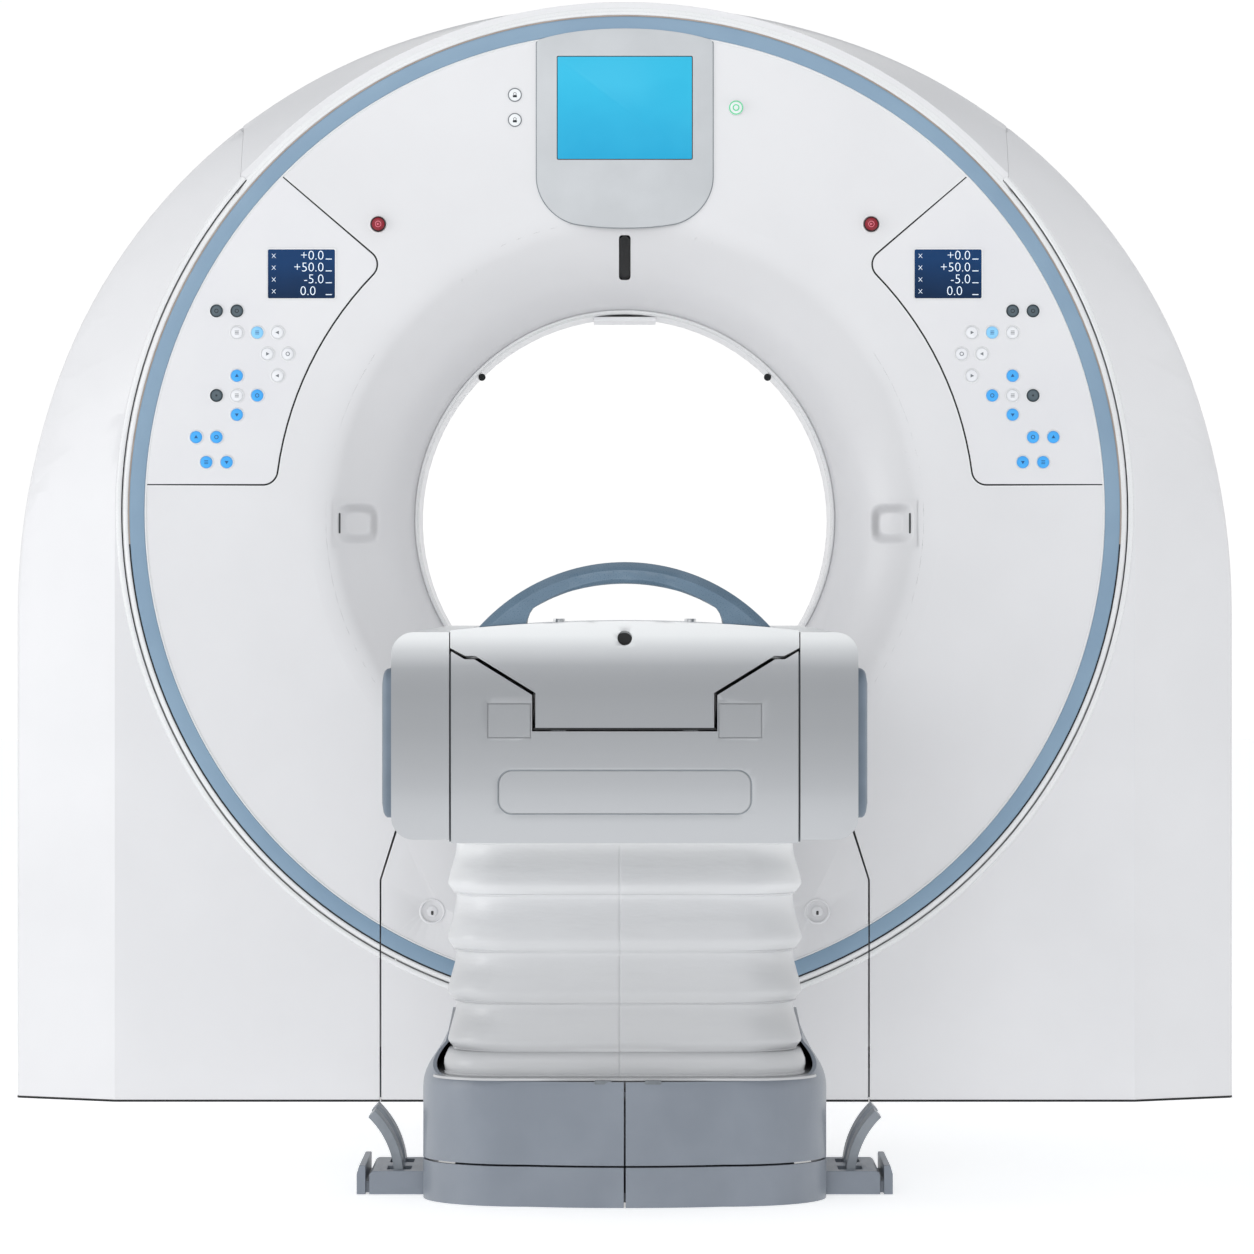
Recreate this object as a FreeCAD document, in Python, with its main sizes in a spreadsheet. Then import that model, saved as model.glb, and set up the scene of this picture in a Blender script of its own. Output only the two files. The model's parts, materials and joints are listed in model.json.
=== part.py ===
import FreeCAD, Part
import math
import os
from types import SimpleNamespace

import Sketcher
from FreeCAD import Placement, Rotation, Vector

# A tilting ring scanner and its patient couch.  X is to the right, +Y runs from the couch into the
# bore and Z is up.  The origin is on the floor, straight below the isocentre.  Millimetres.

SIZES = {
    # gantry housing
    "iso_height": 1094,
    "gantry_half_width": 1148,
    "gantry_spring_height": 918,
    "gantry_side_radius": 1300,
    "gantry_face": 400,
    "gantry_shoulder": 98,
    "gantry_edge_round": 9,
    "face_half_width": 956,
    "cover_wall": 8,
    "tilt_seam_radius": 795,
    "tilt_seam_gap": 4,
    "crown_inner_reach": 720,
    "lower_panel_half_width": 458,
    "panel_seam": 3,
    # the disc that tilts, and its bore
    "disc_rise": 12,
    "rim_outer_radius": 943,
    "rim_width": 12,
    "rim_proud": 3,
    "rim_depth": 60,
    "disc_gap": 7,
    "top_seam": 2,
    "ring_outer_radius": 929,
    "ring_inner_radius": 900,
    "ring_proud": 3,
    "bore_radius": 395,
    "tunnel_half_length": 100,
    "tunnel_wall": 5,
    "mouth_radius": 556,
    "mouth_lip": 60,
    "mouth_round": 60,
    "throat_land": 25,
    "throat_round": 80,
    "service_panel_height": 416,
    "service_panel_top": 520,
    "service_panel_top_half_width": 425,
    # what the front of the disc carries
    "front_plate": 5,
    "front_plate_proud": 1,
    "display_half_width": 165,
    "display_side_bottom": 638,
    "display_chin": 94,
    "screen_half_width": 127.5,
    "screen_bottom": 671.5,
    "screen_top": 866.5,
    "screen_depth": 3,
    "seat_gap": 1,
    "console_inner_radius": 658,
    "console_bottom": 64,
    "console_corner_reach": 453,
    "console_tip_reach": 643,
    "console_corner_round": 26,
    "console_seam": 1.5,
    "readout_reach": 606,
    "readout_height": 458,
    "readout_width": 126,
    "readout_tall": 94,
    "key_radius": 12.5,
    "key_proud": 3,
    "key_column": 727,
    "key_half_step": 19.1,
    "key_cluster_height": 230,
    "lamp_reach": 206,
    "lamp_height": 770,
    "lamp_pitch": 47,
    "lamp_radius": 13,
    "green_button_reach": 208.5,
    "green_button_height": 769,
    "red_button_reach": 462,
    "red_button_height": 551,
    "button_radius": 14,
    "button_stem_radius": 8,
    "button_stem_clearance": 0.05,
    "button_travel": 3,
    "slot_half_width": 10,
    "slot_bottom": 456,
    "slot_top": 532,
    "grip_reach": 504,
    "grip_height": -9,
    "grip_side": 78,
    "grip_depth": 34,
    "grip_wall": 4,
    "light_window_radius": 7,
    "top_insert_half_width": 60,
    "top_insert_thickness": 7,
    "panel_lock_reach": 361,
    "panel_lock_height": 357,
    "panel_lock_radius": 20,
    # stand and tilting frame
    "base_frame_half_depth": 290,
    "panel_arm_reach": 380,
    "panel_arm_width": 40,
    "base_frame_beam": 130,
    "base_frame_tall": 55,
    "anchor_hole_radius": 11,
    "tower_inner_reach": 988,
    "tower_thickness": 92,
    "tower_foot_half": 265,
    "tower_head_radius": 130,
    "trunnion_radius": 55,
    "trunnion_clearance": 0.05,
    "trunnion_bearing_wall": 28,
    "tilt_drive_radius": 104,
    "tilt_motor_radius": 24,
    "tilt_motor_drop": 330,
    "frame_outer_radius": 925,
    "frame_inner_radius": 530,
    "frame_rim_wall": 28,
    "frame_front": 150,
    "frame_plate_front": 150,
    "frame_plate": 36,
    "trunnion_pad": 12,
    "trunnion_pad_half": 95,
    "cover_post_half": 10,
    "cover_post_circle": 908,
    "hood_bracket_reach": 300,
    "hood_bracket_half": 25,
    "hood_bracket_depth": 120,
    # rotor
    "rotor_inner_radius": 425,
    "rotor_outer_radius": 860,
    "rotor_plate_front": 60,
    "rotor_plate": 36,
    "rotor_hub_outer": 470,
    "rotor_bearing_clearance": 0.08,
    "rotor_bearing_outer": 545,
    "rotor_race_end_gap": 6,
    "tube_radius": 100,
    "tube_height": 700,
    "tube_length": 270,
    "collimator_half_width": 130,
    "collimator_tall": 70,
    "focus_height": 620,
    "detector_distance": 1110,
    "detector_thickness": 90,
    "detector_half_span": 480,
    "detector_depth": 130,
    "generator_reach": 560,
    "generator_drop": 220,
    "generator_width": 190,
    "generator_tall": 380,
    "generator_depth": 240,
    "slip_ring_inner": 770,
    "slip_ring_outer": 840,
    "slip_ring_thickness": 14,
    "brush_gap": 0.5,
    "brush_half_width": 60,
    # couch top
    "couch_front": 2750,
    "couch_rear": 665,
    "couch_middle_half_width": 264,
    "couch_half_width": 353,
    "couch_bottom": 575,
    "side_cover_top": 894,
    "side_cover_bottom": 580,
    "side_cover_wall": 6,
    "side_cover_round": 34,
    "cover_seam": 1.5,
    "tongue_edge": 897,
    "tongue_crown": 14,
    "tongue_side": 870,
    "tongue_step_reach": 241,
    "tongue_step": 858,
    "tongue_slope_reach": 226,
    "tongue_root_reach": 135,
    "tongue_root": 802,
    "tongue_bottom": 749,
    "tongue_gap": 5,
    "end_cover_thickness": 14,
    "frame_drop": 2,
    "couch_frame_wall": 6,
    "carriage_length": 350,
    "carriage_wall": 7,
    "rail_reach": 100,
    "rail_half_width": 11,
    "rail_running_gap": 0.3,
    "cradle_half_width": 235,
    "cradle_edge": 896,
    "cradle_edge_thickness": 12,
    "cradle_dish": 24,
    "cradle_belly": 32,
    "cradle_rear_gap": 5,
    "pad_thickness": 15,
    "pad_bottom": 610,
    "pad_top": 840,
    "pad_front_setback": 30,
    "pad_length": 1700,
    "slot_panel_half_width": 190,
    "slot_panel_bottom": 620,
    "slot_panel_top": 684,
    "slot_panel_round": 20,
    "pocket_cover_inner": 143,
    "pocket_cover_outer": 206,
    "pocket_cover_bottom": 735,
    "pocket_cover_top": 785,
    "groove": 2,
    "hole_height": 885,
    "hole_radius": 11,
    "knob_reach": 100,
    "knob_radius": 9,
    "knob_setback": 96,
    "handle_outer_half": 226,
    "handle_outer_top": 1000,
    "handle_inner_half": 151,
    "handle_inner_top": 967,
    "handle_setback": 16,
    "handle_depth": 62,
    "handle_round": 12,
    # lifting column, bellows and couch base
    "column_y": -1975,
    "lift_screw_radius": 18,
    "lift_screw_clearance": 0.05,
    "lift_screw_top": 400,
    "lift_motor_radius": 80,
    "lift_motor_top": 28,
    "lift_nut_radius": 34,
    "lift_nut_length": 42,
    "lift_nut_plate": 10,
    "column_wall": 8,
    "column_gap": 3,
    "column_outer_half": 130,
    "column_outer_top": 390,
    "column_middle_bottom": 190,
    "column_middle_top": 560,
    "column_inner_bottom": 350,
    "column_hole_gap": 6,
    "bellows_half_width": 273,
    "bellows_half_length": 475,
    "bellows_corner": 75,
    "bellows_valley": 16,
    "bellows_wall": 3,
    "bellows_bottom": 180,
    "bellows_bead": 16,
    "base_half_width": 318,
    "base_half_length": 525,
    "base_corner": 165,
    "base_bow": 22,
    "base_wall": 6,
    "base_seam_height": 64,
    "base_rim": 195,
    "base_shoulder": 258,
    "base_shoulder_setback": 60,
    "base_shoulder_run": 130,
    "deck_thickness": 10,
    "deck_post": 26,
    "floor_plate": 15,
    "couch_anchor_reach": 240,
    "couch_anchor_pitch": 820,
    "link_plate_half_width": 140,
    "link_plate": 10,
    # foot pedals
    "tray_length": 260,
    "tray_y": -2140,
    "tray_outer": 405,
    "tray_tall": 37,
    "tray_round": 8,
    "guard_inner": 411,
    "guard_outer": 425,
    "guard_tall": 46,
    "pedal_pivot_reach": 359,
    "pedal_pivot_height": 22,
    "pedal_pin_radius": 5,
    "pedal_pin_clearance": 0.05,
    "pedal_hub_radius": 10,
    "pedal_bend_radius": 142,
    "pedal_out": 44,
    "pedal_up": 103,
    "pedal_thickness": 15,
    "pedal_width": 62,
    "pedal_pitch": 130,
    "pedal_slot_half": 19,
}

BELLOWS_PLEATS = 5
COVER_POSTS = 8
ROTOR_WINDOWS = 8
SHOULDER_TURN = math.radians(19.8)
# rows of keys on a console: how far each row is above the cluster, and its keys in half steps outwards
KEY_ROWS = (
    (158.5, (2, 0)),
    (118, (0, -2, -4)),
    (78, (-3, -5)),
    (37, (0, -4)),
    (0, (2, 0, -2)),
    (-36, (0,)),
    (-78, (4, 2)),
    (-125, (3, 1)),
)


class Length:
    """A number and the spreadsheet words that give it, so that a shape and its expression agree."""

    def __init__(self, number, words):
        self.number = float(number)
        self.words = words

    def __float__(self):
        return self.number

    def __neg__(self):
        return Length(-self.number, f"(-{self.words})")

    def __add__(self, other):
        return Length(self.number + float(other), f"({self.words} + {words_of(other)})")

    def __radd__(self, other):
        return self + other

    def __sub__(self, other):
        return Length(self.number - float(other), f"({self.words} - {words_of(other)})")

    def __rsub__(self, other):
        return Length(float(other) - self.number, f"({words_of(other)} - {self.words})")

    def __mul__(self, other):
        return Length(self.number * float(other), f"({self.words} * {words_of(other)})")

    def __rmul__(self, other):
        return self * other

    def __truediv__(self, other):
        return Length(self.number / float(other), f"({self.words} / {words_of(other)})")


def words_of(value):
    return value.words if isinstance(value, Length) else repr(float(value))


def root(value):
    return Length(math.sqrt(float(value)), f"sqrt({value.words})")


def reach_at(radius, height):
    """How far out a circle is at a height above its centre."""
    return root(radius * radius - height * height)


def bow_radius(half_chord, rise):
    """The radius of an arc from its half chord and its rise."""
    return (half_chord * half_chord + rise * rise) / (rise * 2)


s = SimpleNamespace(**{name: Length(number, "Sizes." + name) for name, number in SIZES.items()})
doc = FreeCAD.newDocument("ring_scanner")
nodes = []


def fill_sheet():
    sheet = doc.addObject("Spreadsheet::Sheet", "Sizes")
    for row, (name, number) in enumerate(SIZES.items(), 1):
        sheet.set(f"A{row}", name)
        sheet.set(f"B{row}", str(number))
        sheet.setAlias(f"B{row}", name)
    doc.recompute()


# ---- small helpers ------------------------------------------------------------------------------

ALONG = {
    "x": Rotation(Vector(0, 1, 0), 90),
    "y": Rotation(Vector(1, 0, 0), -90),
    "z": Rotation(),
}


def bind(thing, place, value):
    """Ties a property to the sheet, or sets it where it is a plain number."""
    if isinstance(value, Length):
        thing.setExpression(place, value.words)
    else:
        setattr(thing, place, value)


def put(thing, at, turn=Rotation()):
    thing.Placement = Placement(Vector(*[float(value) for value in at]), turn)
    for letter, value in zip("xyz", at):
        if isinstance(value, Length):
            thing.setExpression("Placement.Base." + letter, value.words)


def keep(thing, name):
    """Marks an object as a piece of its own, under the name of its file."""
    thing.Label = name
    nodes.append(thing)
    return thing


def block(low, high):
    thing = doc.addObject("Part::Box", "block")
    for side, near, far in zip(("Length", "Width", "Height"), low, high):
        bind(thing, side, far - near)
    put(thing, low)
    return thing


def rod(radius, at, along, length):
    thing = doc.addObject("Part::Cylinder", "rod")
    bind(thing, "Radius", radius)
    bind(thing, "Height", length)
    put(thing, at, ALONG[along])
    return thing


def stud(radius, at, depth):
    """A small flat key or lamp on the front, as a twelve-sided prism."""
    thing = doc.addObject("Part::Prism", "stud")
    thing.Polygon = 12
    bind(thing, "Circumradius", radius)
    bind(thing, "Height", depth)
    put(thing, at, ALONG["y"])
    return thing


def fuse(*things):
    thing = doc.addObject("Part::MultiFuse", "union")
    thing.Shapes = list(things)
    return thing


def cut(base, *tools):
    thing = doc.addObject("Part::Cut", "difference")
    thing.Base = base
    thing.Tool = tools[0] if len(tools) == 1 else fuse(*tools)
    return thing


def common(first, second):
    thing = doc.addObject("Part::MultiCommon", "overlap")
    thing.Shapes = [first, second]
    return thing


def tube(outer, inner, at, along, length):
    return cut(rod(outer, at, along, length), rod(inner, at, along, length))


def mirrored(source):
    """The same piece on the other side of the YZ plane."""
    thing = doc.addObject("Part::Mirroring", "mirrored")
    thing.Source = source
    thing.Normal = Vector(1, 0, 0)
    return thing


def formed(shape):
    """An object for a form that only Part's own functions give."""
    thing = doc.addObject("Part::Feature", "form")
    thing.Shape = shape
    return thing


def new_body(at=(0, 0, 0)):
    body = doc.addObject("PartDesign::Body", "body")
    put(body, at)
    return body


def plane_of(body, role):
    return next(plane for plane in body.Origin.OriginFeatures if plane.Role == role)


def new_sketch(body, role):
    sketch = body.newObject("Sketcher::SketchObject", "outline")
    sketch.AttachmentSupport = [(plane_of(body, role), "")]
    sketch.MapMode = "FlatFace"
    return sketch


def pin_point(sketch, edge, end, corner):
    """Holds a point of the sketch at a corner, each way by the sheet's words."""
    for kind, axis, value in (("DistanceX", -2, corner[0]), ("DistanceY", -1, corner[1])):
        if isinstance(value, Length):
            index = sketch.addConstraint(Sketcher.Constraint(kind, -1, 1, edge, end, float(value)))
            sketch.setExpression(f"Constraints[{index}]", value.words)
        elif value == 0:
            sketch.addConstraint(Sketcher.Constraint("PointOnObject", edge, end, axis))
        else:
            sketch.addConstraint(Sketcher.Constraint(kind, -1, 1, edge, end, float(value)))


def arc_between(start, end, bend):
    """The shorter arc between two points; its centre is to the left where the bend is positive."""
    chord = end - start
    middle = (start + end) * 0.5
    radius = abs(bend)
    left = Vector(-chord.y, chord.x, 0).normalize()
    height = math.sqrt(radius * radius - chord.Length * chord.Length / 4)
    centre = middle + left * math.copysign(height, bend)
    first, last = (start, end) if bend > 0 else (end, start)
    angles = [math.atan2(point.y - centre.y, point.x - centre.x) for point in (first, last)]
    return Part.ArcOfCircle(Part.Circle(centre, Vector(0, 0, 1), radius), *angles)


def draw(sketch, corners, bends=None):
    """A closed outline through the corners; bends gives the radius of the arc after a corner."""
    bends = bends or {}
    points = [Vector(float(x), float(y), 0) for x, y in corners]
    ends = []
    for index, start in enumerate(points):
        end = points[(index + 1) % len(points)]
        if index in bends:
            bend = bends[index]
            edge = sketch.addGeometry(arc_between(start, end, float(bend)), False)
            first, last = (1, 2) if float(bend) > 0 else (2, 1)
            radius = bend if float(bend) > 0 else -bend
            rule = sketch.addConstraint(Sketcher.Constraint("Radius", edge, float(radius)))
            sketch.setExpression(f"Constraints[{rule}]", radius.words)
        else:
            edge = sketch.addGeometry(Part.LineSegment(start, end), False)
            first, last = 1, 2
        ends.append((edge, first, last))
        pin_point(sketch, edge, first, corners[index])
    for index, (edge, first, last) in enumerate(ends):
        after, begin, _ = ends[(index + 1) % len(ends)]
        sketch.addConstraint(Sketcher.Constraint("Coincident", edge, last, after, begin))
    return sketch


def draw_circle(sketch, radius, centre=(0, 0)):
    place = Vector(float(centre[0]), float(centre[1]), 0)
    edge = sketch.addGeometry(Part.Circle(place, Vector(0, 0, 1), float(radius)), False)
    rule = sketch.addConstraint(Sketcher.Constraint("Radius", edge, float(radius)))
    sketch.setExpression(f"Constraints[{rule}]", radius.words)
    pin_point(sketch, edge, 3, centre)
    return sketch


def pad(body, sketch, length, backwards=True):
    """Thickens a sketch: backwards is along +Y from a front view, and down from a plan."""
    feature = body.newObject("PartDesign::Pad", "pad")
    feature.Profile = sketch
    feature.Reversed = backwards
    bind(feature, "Length", length)
    return feature


def front_prism(corners, bends, near, depth):
    """A front view, taken back along +Y from the near plane."""
    body = new_body((0, near, 0))
    pad(body, draw(new_sketch(body, "XZ_Plane"), corners, bends), depth)
    return body


def side_prism(corners, bends, left, width):
    """A side view, taken along +X."""
    body = new_body((left, 0, 0))
    pad(body, draw(new_sketch(body, "YZ_Plane"), corners, bends), width, False)
    return body


def plan_prism(corners, bends, bottom, height, middle=0):
    """A plan, taken upwards."""
    body = new_body((0, middle, bottom))
    pad(body, draw(new_sketch(body, "XY_Plane"), corners, bends), height, False)
    return body


def turned(corners, bends, at):
    """A profile of radius and depth, turned about the Y axis through a point."""
    body = new_body(at)
    sketch = draw(new_sketch(body, "XY_Plane"), corners, bends)
    feature = body.newObject("PartDesign::Revolution", "turning")
    feature.Profile = sketch
    feature.ReferenceAxis = (sketch, ["V_Axis"])
    feature.Angle = 360
    return body


def round_edges(body, radius, chosen, kind="PartDesign::Fillet", size="Radius"):
    """A fillet on the edges of the body so far that pass a test."""
    doc.recompute()
    tip = body.Tip
    found = [f"Edge{n}" for n, edge in enumerate(tip.Shape.Edges, 1) if chosen(edge)]
    if not found:
        raise ValueError("no edge to round on " + body.Label)
    feature = body.newObject(kind, "edges")
    feature.Base = (tip, found)
    bind(feature, size, radius)
    return feature


def bevel_edges(body, size, chosen):
    """A chamfer on the edges of the body so far that pass a test."""
    feature = round_edges(body, size, chosen, "PartDesign::Chamfer", "Size")
    return feature


def is_circle(edge, radius, depth):
    """A full turn of the given radius whose plane is at a depth along Y."""
    curve = edge.Curve
    if not isinstance(curve, Part.Circle):
        return False
    return abs(curve.Radius - float(radius)) < 0.01 and abs(curve.Center.y - float(depth)) < 0.01


def is_corner(edge, x, y, axis):
    """A straight edge along an axis, over a point of the other two."""
    points = [vertex.Point for vertex in edge.Vertexes]
    if len(points) != 2:
        return False
    one, two = [other for other in "xyz" if other != axis]
    near = [
        abs(getattr(point, one) - float(x)) < 0.05 and abs(getattr(point, two) - float(y)) < 0.05
        for point in points
    ]
    return all(near)


def symmetric(half):
    """An outline from its right-hand half, given from the bottom upwards."""
    return list(half) + [(-x, y) for x, y in reversed(half)]


# ---- gantry housing -----------------------------------------------------------------------------


def upright_arch(points, y, floor):
    """A wire of two upright sides and five arcs; points are the ends and middles of the right half."""
    side, side_mid, shoulder, shoulder_mid, brow, top = [Vector(x, y, z) for x, z in points]

    def flip(point):
        return Vector(-point.x, point.y, point.z)

    foot = Vector(side.x, y, floor)
    edges = [
        Part.makeLine(foot, side),
        Part.Arc(side, side_mid, shoulder).toShape(),
        Part.Arc(shoulder, shoulder_mid, brow).toShape(),
        Part.Arc(brow, top, flip(brow)).toShape(),
        Part.Arc(flip(brow), flip(shoulder_mid), flip(shoulder)).toShape(),
        Part.Arc(flip(shoulder), flip(side_mid), flip(side)).toShape(),
        Part.makeLine(flip(side), flip(foot)),
        Part.makeLine(flip(foot), foot),
    ]
    return Part.Wire(edges)


def polar(centre_x, centre_z, radius, angle):
    return centre_x + radius * math.cos(angle), centre_z + radius * math.sin(angle)


def wall_section(inset, y, floor):
    """The outer arch of the housing: long side and top arcs joined by a tighter shoulder."""
    half = SIZES["gantry_half_width"]
    radius = SIZES["gantry_side_radius"]
    spring = SIZES["gantry_spring_height"]
    turn = SHOULDER_TURN
    back = half - radius
    shift = -back / (math.cos(turn) - math.sin(turn))
    offset = shift * math.sin(turn)
    side_radius = radius - inset
    shoulder_radius = radius - shift - inset
    points = [
        polar(back, spring, side_radius, 0),
        polar(back, spring, side_radius, turn / 2),
        polar(back, spring, side_radius, turn),
        polar(offset, spring + offset, shoulder_radius, math.pi / 4),
        polar(0, spring + back, side_radius, math.pi / 2 - turn),
        polar(0, spring + back, side_radius, math.pi / 2),
    ]
    return upright_arch(points, y, floor)


def face_section(inset, y, floor):
    """The rim of the flat face: upright sides under a half circle round the disc."""
    radius = SIZES["face_half_width"] - inset
    centre = SIZES["iso_height"] + SIZES["disc_rise"]
    turn = SHOULDER_TURN
    angles = (0, turn / 2, turn, math.pi / 4, math.pi / 2 - turn, math.pi / 2)
    return upright_arch([polar(0, centre, radius, angle) for angle in angles], y, floor)


def housing_form(inset, floor):
    """The whole housing as one solid: face, sloped rim, rounded edge, wall, and the same behind."""
    face = SIZES["gantry_face"]
    shoulder = face - SIZES["gantry_shoulder"]
    soft = SIZES["gantry_edge_round"]
    ends = [face_section(inset * 0.25, sign * (face - inset), floor) for sign in (-1, 1)]
    if inset:
        # the inside has no rounded edge
        middle = [wall_section(inset, sign * (shoulder - inset / 4), floor) for sign in (-1, 1)]
    else:
        middle = [
            wall_section(soft / 2, -shoulder, floor),
            wall_section(0, soft - shoulder, floor),
            wall_section(0, shoulder - soft, floor),
            wall_section(soft / 2, shoulder, floor),
        ]
    return Part.makeLoft([ends[0], *middle, ends[1]], True, True)


def housing_skin():
    wall = SIZES["cover_wall"]
    return housing_form(0, 0).cut(housing_form(wall, -wall))


def solid_rod(radius, start, direction, length):
    return Part.makeCylinder(radius, length, start, direction)


def disc_opening(gap):
    """The round hole, front and back, that the tilting disc fills."""
    reach = SIZES["gantry_face"] * 2
    centre = SIZES["iso_height"] + SIZES["disc_rise"]
    radius = SIZES["rim_outer_radius"] + gap
    return solid_rod(radius, Vector(0, -reach, centre), Vector(0, 1, 0), 2 * reach)


def tilt_drum(radius):
    """A solid about the tilt axis, as wide as the housing."""
    reach = SIZES["gantry_half_width"] + SIZES["cover_wall"]
    start = Vector(-reach, 0, SIZES["iso_height"])
    return solid_rod(radius, start, Vector(1, 0, 0), 2 * reach)


def slab(low, high):
    size = [b - a for a, b in zip(low, high)]
    return Part.makeBox(*size, Vector(*low))


def crown_zone(reach):
    """All that is further out than a reach, on both sides and above the tilt axis."""
    wide = SIZES["gantry_half_width"] * 2
    deep = SIZES["gantry_face"] * 2
    iso = SIZES["iso_height"]
    right = slab((reach, -deep, iso), (wide, deep, iso * 3))
    return right.fuse(slab((-wide, -deep, iso), (-reach, deep, iso * 3)))


def make_housing():
    """The covers of the stand, which stay, and the hood over them, which tilts."""
    wide = SIZES["gantry_half_width"] * 2
    deep = SIZES["gantry_face"] * 2
    iso = SIZES["iso_height"]
    half_gap = SIZES["tilt_seam_gap"] / 2
    seam = SIZES["tilt_seam_radius"]
    skin = housing_skin()
    above = slab((-wide, -deep, iso), (wide, deep, iso * 3))
    below = slab((-wide, -deep, -1), (wide, deep, iso))
    # the drum shapes the crowns only: between them the tilting disc sweeps under the hood
    reach = SIZES["crown_inner_reach"]
    round_edge = tilt_drum(seam + half_gap).common(crown_zone(reach - half_gap * 2))
    hood = skin.common(above).cut(round_edge).cut(disc_opening(SIZES["top_seam"]))
    keep(formed(hood), "top_hood")

    standing = skin.cut(disc_opening(SIZES["disc_gap"]))
    crown = tilt_drum(seam - half_gap).common(crown_zone(reach))
    standing = standing.common(below.fuse(crown))
    seam_reach = SIZES["lower_panel_half_width"]
    half_seam = SIZES["panel_seam"] / 2
    side = slab((seam_reach + half_seam, -deep, -1), (wide, deep, iso * 3))
    right = standing.common(side).fuse(crown_cap()).removeSplitter()
    right_cover = keep(formed(right), "right_stand_cover")
    keep(mirrored(right_cover), "left_stand_cover")
    inner = seam_reach - half_seam
    front = slab((-inner, -deep, -1), (inner, 0, iso)).cut(link_plate_way())
    rear = slab((-inner, 0, -1), (inner, deep, iso))
    keep(formed(standing.common(front)), "lower_front_panel")
    keep(formed(standing.common(rear)), "lower_rear_panel")


def link_plate_way():
    """The notch that the floor plate between couch and stand runs through."""
    gap = SIZES["panel_seam"]
    half = SIZES["link_plate_half_width"] + gap
    deep = SIZES["gantry_face"] * 2
    return slab((-half, -deep, -1), (half, 0, SIZES["link_plate"] + gap))


def crown_cap():
    """The round top of a stand cover, which the hood slides over."""
    outer = SIZES["tilt_seam_radius"] - SIZES["tilt_seam_gap"] / 2
    wall = SIZES["cover_wall"]
    shell = tilt_drum(outer).cut(tilt_drum(outer - wall))
    iso = SIZES["iso_height"]
    wide = SIZES["gantry_half_width"]
    high = slab((SIZES["crown_inner_reach"], -wide, iso), (wide, wide, iso + outer))
    return shell.common(high).common(housing_form(wall / 2, 0))


def make_base_frame():
    """The welded floor frame, with two arms that hold the lower panels."""
    wide = s.gantry_half_width - s.cover_wall
    deep = s.base_frame_half_depth
    beam = s.base_frame_beam
    tall = s.base_frame_tall
    ends = [
        block((wide - beam, -deep, 0), (wide, deep, tall)),
        block((-wide, -deep, 0), (beam - wide, deep, tall)),
    ]
    bars = [
        block((-wide, -deep, 0), (wide, beam - deep, tall)),
        block((-wide, deep - beam, 0), (wide, deep, tall)),
        block((-wide, -beam / 2, 0), (wide, beam / 2, tall)),
    ]
    reach = s.gantry_face - s.cover_wall
    half_arm = s.panel_arm_width / 2
    for side in (-1, 1):
        middle = s.panel_arm_reach * side
        bars.append(block((middle - half_arm, -reach, 0), (middle + half_arm, reach, tall)))
    x = wide - beam / 2
    y = deep - beam / 2
    holes = [
        rod(s.anchor_hole_radius, (a, b, -1), "z", tall + 2)
        for a in (x, -x)
        for b in (y, -y)
    ]
    keep(cut(fuse(*ends, *bars), *holes), "gantry_base_frame")


def make_towers():
    """An upright on each side that carries the tilt bearing."""
    foot = s.tower_foot_half
    head = s.tower_head_radius
    bottom = s.base_frame_tall
    iso = s.iso_height
    body = side_prism(
        [(-foot, bottom), (foot, bottom), (head, iso), (0, iso + head), (-head, iso)],
        {2: head, 3: head},
        s.tower_inner_reach,
        s.tower_thickness,
    )
    bore = rod(
        s.trunnion_radius + s.trunnion_clearance + s.trunnion_bearing_wall,
        (s.tower_inner_reach - 1, 0, iso),
        "x",
        s.tower_thickness + 2,
    )
    web = s.tower_thickness / 4
    window_bottom = bottom + foot / 3
    window_top = iso - head * 2
    windows = [
        side_prism(
            [
                (foot * -0.7, window_bottom),
                (foot * 0.7, window_bottom),
                (head * 0.75, window_top),
                (head * -0.75, window_top),
            ],
            None,
            left,
            web,
        )
        for left in (s.tower_inner_reach, s.tower_inner_reach + s.tower_thickness - web)
    ]
    tower = cut(body, bore, *windows)
    keep(fuse(tower, mirrored(tower)), "stand_towers")

    ring = tube(
        s.trunnion_radius + s.trunnion_clearance + s.trunnion_bearing_wall,
        s.trunnion_radius + s.trunnion_clearance,
        (s.tower_inner_reach, 0, iso),
        "x",
        s.tower_thickness,
    )
    keep(fuse(ring, mirrored(ring)), "tilt_bearings")


def make_tilt_drives():
    """A slewing gear case round each trunnion, with its motor hanging beside the tower."""
    pad_face = s.frame_outer_radius + s.trunnion_pad + 2
    width = s.tower_inner_reach - pad_face
    case = tube(
        s.tilt_drive_radius,
        s.trunnion_radius + s.trunnion_clearance,
        (pad_face, 0, s.iso_height),
        "x",
        width,
    )
    motor = rod(
        s.tilt_motor_radius,
        (pad_face + width / 2, -s.tilt_drive_radius * 0.75, s.iso_height - s.tilt_motor_drop),
        "z",
        s.tilt_motor_drop - s.tilt_drive_radius * 0.5,
    )
    drive = fuse(case, motor)
    keep(fuse(drive, mirrored(drive)), "tilt_drives")


# ---- tilting frame and rotor --------------------------------------------------------------------


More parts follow.
